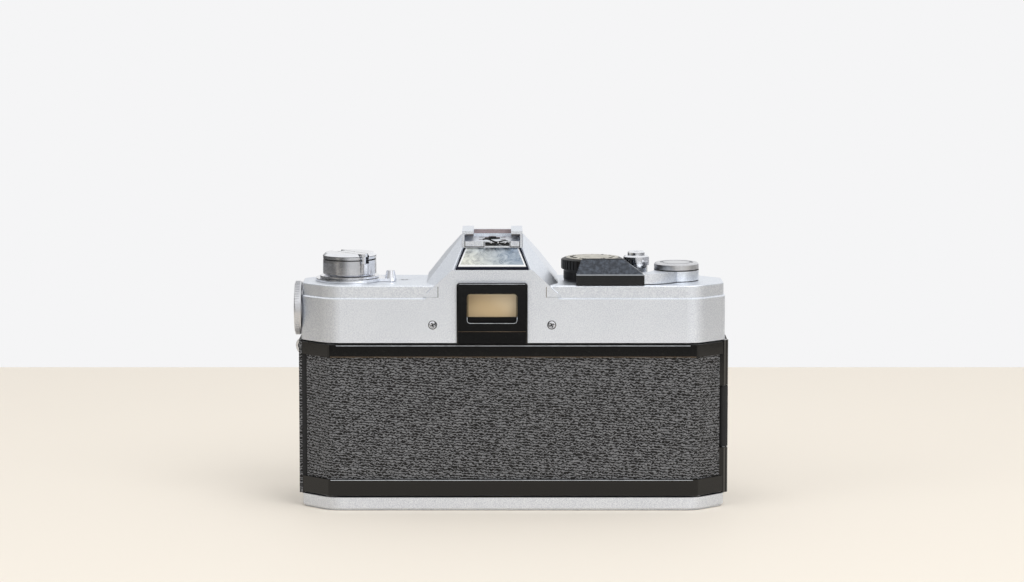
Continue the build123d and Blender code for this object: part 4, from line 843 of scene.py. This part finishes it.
# ------------------------------------------------------------ lever end
dial_centre = axis_of("speed_dial")
dial_place, dial_radius = upright(dial_centre, deck_z + 5.65 * MM), radius_of("speed_dial")
dial_ribs = ribs("dial_ribs", dial_place, GRIP, dial_radius - 0.15, 44, 0.8, 2.9, 0.7)
add_piece("dial_ribs", dial_ribs, "speed_dial")
ring_ribs = ribs(
    "speed_ring_ribs", upright(dial_centre, middle("film_speed_ring").z), GRIP,
    radius_of("film_speed_ring") - 0.05, 96, 0.34, 2.6, 0.3,
)
add_piece("speed_ring_ribs", ring_ribs, "film_speed_ring")
crown_z = corners("speed_dial")[1].z / MM
face_radius = 8.9
dial_face = lathe("dial_face", [
    (0, crown_z - 0.2), (0, crown_z + 0.03), (face_radius, crown_z - 0.45), (face_radius, crown_z - 0.6),
], Matrix.Translation(dial_centre), DIAL_FACE)
add_piece("dial_face", dial_face, "speed_dial")
dial_figures = figures_round(
    ["1", "2", "4", "8", "15", "30", "60", "125", "250", "500", "B"], 1.7, dial_centre, 7.0, crown_z - 0.3,
    BLACK_FILL, 90.0, -30.0,
)
add_joined("dial_figures", dial_figures, "speed_dial")

# a dark joint under the lever's cap, and a ring of painted shadow under its hub on the deck
cap_low, cap_radius = corners("lever_cap")[0].z / MM, radius_of("lever_cap", "y")
hub_lines = [
    lathe("hub_line", [(radius - 0.5, low), (radius, low), (radius, high), (radius - 0.5, high)],
          Matrix.Translation(axis_of("lever_cap")), BLACK_FILL)
    for radius, low, high in (
        (cap_radius + 0.02, cap_low - 0.02, cap_low + 0.28),
        (cap_radius - 0.1, deck_z / MM + 0.12, deck_z / MM + 0.5),
    )
]
add_joined("hub_lines", hub_lines, "advance_lever")

# film-plane mark on the deck: a ring with a line through it
mark_x, mark_y, mark_z = -29.6, 0.6, deck_z / MM
deck_mark = [
    lathe("mark_ring", [(0.95, -0.1), (1.2, -0.1), (1.2, 0.02), (0.95, 0.02)],
          Matrix.Translation(Vector((mark_x * MM, mark_y * MM, deck_z))), BLACK_FILL, 32),
    bar("mark_line", (mark_x - 2, mark_y - 0.12, mark_z - 0.1), (mark_x + 2, mark_y + 0.12, mark_z + 0.02),
        BLACK_FILL),
]
add_joined("deck_mark", deck_mark, "camera_body")

lock_place = upright(axis_of("release_lock_ring"), corners("release_lock_ring")[1].z - 1.9 * MM)
lock_ribs = ribs("lock_ribs", lock_place, BRIGHT, radius_of("release_lock_ring") - 0.05, 54, 0.28, 2.3, 0.2)
add_piece("lock_ribs", lock_ribs, "release_lock_ring")

# ------------------------------------------------------------ small fittings
# screws: cross recesses as black bars of painted shade and a ring of painted shadow round each head on the
# cover, slots on the base as black bars of painted shade
screw_low, screw_high = corners("cover_screws")
screw_z = (screw_low.z + screw_high.z) / 2
head_radius = 1.25
screw_marks = []
for side in (-1, 1):
    screw_x = side * (screw_high.x / MM - head_radius)
    at_head = frame_at(Vector((screw_x, screw_low.y / MM - 0.02, screw_z / MM)) * MM, RIGHT, -FORWARD)
    for turn in (0.4, 0.4 + math.pi / 2):
        cross = bar("screw_cross", (-0.85, -0.16, -0.05), (0.85, 0.16, 0.02), BLACK_FILL)
        cross.transform(at_head @ Matrix.Rotation(turn, 4, "Z"))
        screw_marks.append(cross)
    at_face = frame_at(Vector((screw_x, rear, screw_z / MM)) * MM, RIGHT, -FORWARD)
    joint = [(1.27, -0.05), (1.27, 0.03), (1.5, 0.03), (1.5, -0.05)]
    screw_marks.append(lathe("painted_screw_shadow", joint, at_face, BLACK_FILL, 32))
add_joined("cover_screw_recesses", screw_marks, "camera_body")

# eyepiece: painted highlights along its top edge and round the foot of its funnel, and a brownish painted
# reflection on the step under it
shine_y, shine = eye_low.y / MM + 0.05, 0.09
funnel_foot = [(8.3, 65.5), (8.3, 64.2), (8.0, 63.6), (7.3, 63.35)]
funnel_foot = [(-x, z) for x, z in funnel_foot] + funnel_foot[::-1]
eye_lines = [
    wire("funnel_line", [(x, shine_y, z) for x, z in funnel_foot], shine, PAINTED_HIGHLIGHT, 8),
    wire("brow_line", [(x, shine_y, eye_high.z / MM - 0.35) for x in (-10.9, 0.0, 10.9)], shine, PAINTED_HIGHLIGHT, 8),
    wire("step_line", [(x, shine_y, 60.6) for x in (-11.2, 0.0, 11.2)], shine, PAINTED_BROWN_REFLECTION, 8),
]
add_joined("eyepiece_lines", eye_lines, "camera_body")

# fine lines where the deck's edge meets the finder housing, painted shade at the left step and a brownish
# painted reflection at the right one, and a painted highlight along the ledge that runs on from them
ledge_z = 71.8
housing_step_lines = [
    bar("painted_step_line", (x - 0.1, rear - 0.02, ledge_z), (x + 0.1, rear + 0.1, deck_z / MM - 0.4), colour)
    for x, colour in ((-18.0, BLACK_FILL), (18.0, PAINTED_BROWN_REFLECTION))
] + [
    bar("ledge_run", (low, rear - 0.02, ledge_z), (low + 5.0, rear + 0.1, ledge_z + 0.18), PAINTED_HIGHLIGHT)
    for low in (-23.0, 18.0)
]
add_joined("housing_step_lines", housing_step_lines, "camera_body")

# slots of the base screws: black bars of painted shade
base_slots = []
for spot_x, spot_y, turn in (
    (-51, 9.7, 0.5), (-51, -9.7, 1.9), (20, 9.7, 1.2), (58.5, 9.7, 2.5), (55.9, -9.7, 0.2),
):
    slot_bar = bar("base_slot", (-1.5, -0.2, -0.03), (1.5, 0.2, 0.05), BLACK_FILL)
    slot_bar.transform(Matrix.Translation(Vector((spot_x, spot_y, 0.1)) * MM) @ Matrix.Rotation(turn, 4, "Z"))
    base_slots.append(slot_bar)
add_joined("base_screw_slots", base_slots, "camera_body")

# tripod thread and the sync socket's pin
thread_pitch = 1.27
tripod_turns = [
    lathe("tripod_turn", [(3.22, level - 0.42), (2.98, level), (3.22, level + 0.42)], Matrix(), BRASS, 48)
    for level in (0.9 + thread_pitch * turn for turn in range(4))
]
add_joined("tripod_thread", tripod_turns, "camera_body")

sync_middle = middle("sync_socket")
sync_place = frame_at(Vector((sync_middle.x, corners("sync_socket")[0].y, sync_middle.z)), RIGHT, FORWARD)
sync_outline = [(0, 0.2), (0.45, 0.2), (0.45, 1.25), (0.3, 1.45), (0, 1.5)]
sync_pin = lathe("sync_pin", sync_outline, sync_place, BRASS, 20)
add_piece("sync_pin", sync_pin, "camera_body")


# accessory shoe: bow spring between its tabs with a black bar of painted shade behind it, its screws, a
# painted reflection on the face of its stop and painted shadow in the cavities at the stop's ends
def steps(count):
    """Shares from 0 to 1 along a wire."""
    return [s / count for s in range(count + 1)]


shoe_edge = corners("accessory_shoe")[0].y / MM
bow = [
    (-3.2 + 8.6 * t, shoe_edge + 0.5 - 0.5 * math.sin(math.pi * t), 90.1 - 0.9 * t + 0.35 * math.sin(9.0 * t))
    for t in steps(30)
]
under_bow = [
    (-2.2 + 7.6 * t, shoe_edge - 0.2, 88.95 - 0.5 * math.sin(math.pi * t) + 0.22 * math.sin(14.0 * t))
    for t in steps(36)
]
coil = [
    (-1.0 + 6.0 * t + 0.6 * math.cos(16.0 * t), shoe_edge - 0.12, 88.75 + 0.5 * math.sin(16.0 * t))
    for t in steps(60)
]
springs = [
    wire("bow", bow, 0.26, GRIP), wire("under_bow", under_bow, 0.24, GRIP), wire("coil", coil, 0.16, BRIGHT),
    bar("shade", (-2.4, shoe_edge - 0.05, 88.0), (5.7, shoe_edge + 0.1, 89.1), BLACK_FILL),
]
add_joined("bow_spring", springs, "camera_body")

leaf_low, leaf_high = corners("shoe_spring")
shoe_place = Matrix.Translation(Vector((0, 3.0, leaf_high.z / MM - 0.02)) * MM)
screw_circle, first_screw = 5.2, math.pi / 4
# the slots of the shoe's screws are black bars of painted shade
shoe_screws = [
    studs("shoe_heads", shoe_place, STEEL, screw_circle, 4, 0.95, 0.24, first_screw),
    ribs("shoe_slots", shoe_place, BLACK_FILL, screw_circle, 4, 0.24, 0.3, 1.6, first_screw),
]
add_joined("shoe_screws", shoe_screws, "camera_body")

# the stop's face carries a flat painted reflection, the cavities at its ends a painted shadow
stop_y, stop_top = 11.22, 91.85
stop_faces = [bar("shoe_stop_face", (-6.28, 11.14, 90.5), (6.28, stop_y, stop_top), PAINTED_STOP_REFLECTION)] + [
    bar("stop_end", (low, 11.1, 89.65), (low + 2.8, stop_y, stop_top), PAINTED_CAVITY_SHADOW) for low in (-9.2, 6.4)
]
add_joined("shoe_stop_face", stop_faces, "camera_body")

# painted shade: black lines along the foot and the ends of the spring's tabs
tab_front, tab_back, tab_foot = leaf_low.y / MM - 0.05, leaf_low.y / MM + 0.1, 87.62
tab_lines = [
    bar("tab_line", (low, tab_front, tab_foot), (high, tab_back, tab_foot + 0.23), BLACK_FILL)
    for low, high in ((-9.2, -2.75), (5.95, 9.2))
] + [
    bar("tab_end", (x - 0.12, tab_front, tab_foot), (x + 0.12, tab_back, 89.5), BLACK_FILL)
    for x in (-9.15, -2.75, 5.95, 9.15)
]
add_joined("tab_lines", tab_lines, "camera_body")

# frame counter: figures under its window and a bezel round it
counter_figures = figures_round(
    ["0", "4", "8", "12", "16", "20", "24", "28", "32", "36"], 1.9, axis_of("counter_dial"), 10.6, 72.02,
    WHITE, 87.0, -36.0,
)
add_joined("counter_figures", counter_figures, "counter_dial")
window_middle = middle("counter_window")
bezel = lathe("counter_bezel", [
    (2.62, -0.2), (2.62, 0.12), (2.8, 0.2), (3.15, 0.2), (3.25, 0.05), (3.25, -0.2),
], Matrix.Translation(Vector((window_middle.x, window_middle.y, deck_z))), BRIGHT, 48)
add_piece("counter_bezel", bezel, "camera_body")

# film path: bare rails, dimples of the pressure plate, light seals in the door's channels
film_y = corners("pressure_plate")[1].y / MM + 0.35
rail_end, rail_half = 32.9, 0.55
rail_strips = [
    bar("rail_strip", (-rail_end, y - 0.03, z - rail_half), (rail_end, y + 0.05, z + rail_half), STEEL)
    for rise, y in ((13.4, film_y), (18.2, film_y - 0.25))
    for z in (lens_axis_z / MM - rise, lens_axis_z / MM + rise)
]
add_joined("rail_strips", rail_strips, "camera_body")
plate_face = frame_at(Vector((0, film_y - 0.35, lens_axis_z / MM)) * MM, RIGHT, FORWARD)
dimples = grown(
    stud_grid_tree, "plate_dimples", plate_face, STEEL, Across=0.046, Along=0.024, Columns=9, Rows=5,
    Stud=0.0006, Height=0.00006,
)
add_piece("plate_dimples", dimples, "pressure_plate")
seals = [bar("light_seal", (-52.8, -13.78, low), (66.8, -13.55, low + 1.1), CLOTH) for low in (5.7, 55.0)]
add_joined("light_seals", seals, "camera_body")

# lens: index dot, ring inside the filter thread; self-timer hub's mark
breech_high = corners("breech_ring")[1]
mount_dot = lathe(
    "mount_dot", [(0, -0.3), (0.75, -0.3), (0.75, 0.1), (0, 0.16)],
    Matrix.Translation(Vector((0, (breech_high.y - 0.0012), breech_high.z))), ORANGE, 24,
)
add_piece("mount_dot", mount_dot, "breech_ring")
ring_back, ring_groove, ring_face = thread_top - 4.1, thread_top - 3.8, thread_top - 3.7
name_ring = lathe("name_ring", [
    (19.6, ring_back), (19.6, thread_top - 3.85), (20.1, ring_face), (23.2, ring_face), (23.3, ring_groove),
    (23.5, ring_groove), (23.6, ring_face), (26.9, ring_face), (26.9, ring_back),
], lens_place, BARREL, 128)
add_piece("name_ring", name_ring, "front_barrel")
timer_front, timer_hub_z = corners("self_timer_lever")[1].y, 44.0
timer_place = frame_at(Vector((middle("self_timer_lever").x, timer_front, timer_hub_z * MM)), RIGHT, FORWARD)
timer_outline = [(2.5, -0.1), (2.5, 0.03), (2.8, 0.03), (2.8, -0.1)]
timer_ring = lathe("timer_ring", timer_outline, timer_place, BLACK_FILL, 48)
add_piece("timer_ring", timer_ring, "self_timer_lever")


# ------------------------------------------------------------ light, room, floor and camera
def add_area(name, place, target, width, depth, power):
    lamp = bpy.data.lights.new(name, "AREA")
    lamp.shape, lamp.size, lamp.size_y, lamp.energy = "RECTANGLE", width, depth, power
    holder = bpy.data.objects.new(name, lamp)
    holder.location = place
    holder.rotation_euler = (Vector(target) - Vector(place)).to_track_quat("-Z", "Y").to_euler()
    bpy.context.scene.collection.objects.link(holder)
    return holder


add_area("window_light", (0.75, -1.1, 1.15), (0, 0, 0.05), 1.1, 0.9, 9.0)
add_area("top_light", (0.1, -0.2, 1.5), (0, 0, 0.04), 1.2, 0.8, 7.0).visible_glossy = False
add_area("side_fill", (-1.2, -0.8, 0.8), (0, 0, 0.05), 0.8, 0.8, 3.5).visible_glossy = False

world = bpy.data.worlds.new("studio")
bpy.context.scene.world = world
world.use_nodes = True
world.node_tree.nodes.clear()
WHITE_LIGHT = (1.0, 1.0, 1.0, 1.0)


def sky(kind, settings=(), values=(), output=0):
    return placed_node(world.node_tree, kind, settings, values, output)


def sky_maths(operation, first, second):
    return sky("ShaderNodeMath", {"operation": operation}, {0: first, 1: second})


def sky_ramp(heading, low, high, first, last, step="LINEAR"):
    """Brightness that goes from first to last while a heading goes from low to high."""
    values = {"Value": heading, "From Min": low, "From Max": high, "To Min": first, "To Max": last}
    return sky("ShaderNodeMapRange", {"interpolation_type": step}, values)


def glow(colour, strength):
    return sky("ShaderNodeBackground", (), {"Color": colour, "Strength": strength})


def either(mask, first, second):
    return sky("ShaderNodeMixShader", (), {0: mask, 1: first, 2: second})


# polished pieces mirror a room: dim walls, a bright window wall to the right and a bright ceiling
heading = sky("ShaderNodeTexCoord", output="Generated")
sideways = sky("ShaderNodeSeparateXYZ", (), {0: heading}, "X")
upwards = sky("ShaderNodeSeparateXYZ", (), {0: heading}, "Z")
ceiling = sky_ramp(upwards, 0.06, 0.5, 0.0, 1.0, "SMOOTHSTEP")
window_wall = sky_ramp(sideways, -0.62, 0.12, 0.16, 1.0, "SMOOTHSTEP")
dim_corner = sky_ramp(sideways, 0.55, 0.9, 1.0, 0.45)
below = sky_ramp(upwards, -0.118, -0.1, 0.15, 1.0)
brightness = sky_maths("MAXIMUM", ceiling, sky_maths("MULTIPLY", window_wall, dim_corner))
room = glow(WHITE_LIGHT, sky_maths("MULTIPLY", brightness, below))
mirrored = either(sky("ShaderNodeLightPath", output="Is Glossy Ray"), glow(WHITE_LIGHT, 0.6), room)
seen = sky_maths(
    "MAXIMUM", sky("ShaderNodeLightPath", output="Is Camera Ray"),
    sky("ShaderNodeLightPath", output="Is Transmission Ray"),
)
studio = either(seen, mirrored, glow(tint(245, 245, 246), 1.0))
world.node_tree.links.new(studio, world.node_tree.nodes.new("ShaderNodeOutputWorld").inputs[0])

floor_mesh = bpy.data.meshes.new("floor")
floor_z, floor_side, floor_rear, floor_front = -0.05 * MM, 0.5, -0.37, 0.333
floor_mesh.from_pydata([
    (-floor_side, floor_rear, floor_z), (floor_side, floor_rear, floor_z),
    (floor_side, floor_front, floor_z), (-floor_side, floor_front, floor_z),
], [], [(0, 1, 2, 3)])
floor = bpy.data.objects.new("floor", floor_mesh)
bpy.context.scene.collection.objects.link(floor)
floor_mesh.materials.append(Finish("pale_floor", tint(238, 230, 218), 0.7).material)

camera_data = bpy.data.cameras.new("camera")
camera_data.lens = 127.9
camera_data.sensor_width = 36.0
camera = bpy.data.objects.new("camera", camera_data)
bpy.context.scene.collection.objects.link(camera)
camera.location = Vector((6.6, -1216.5, 215.0)) * MM
aim = Vector((6.6, -16.5, 74.0)) * MM
camera.rotation_euler = (aim - camera.location).to_track_quat("-Z", "Y").to_euler()
bpy.context.scene.camera = camera
bpy.context.scene.view_settings.view_transform = "Standard"
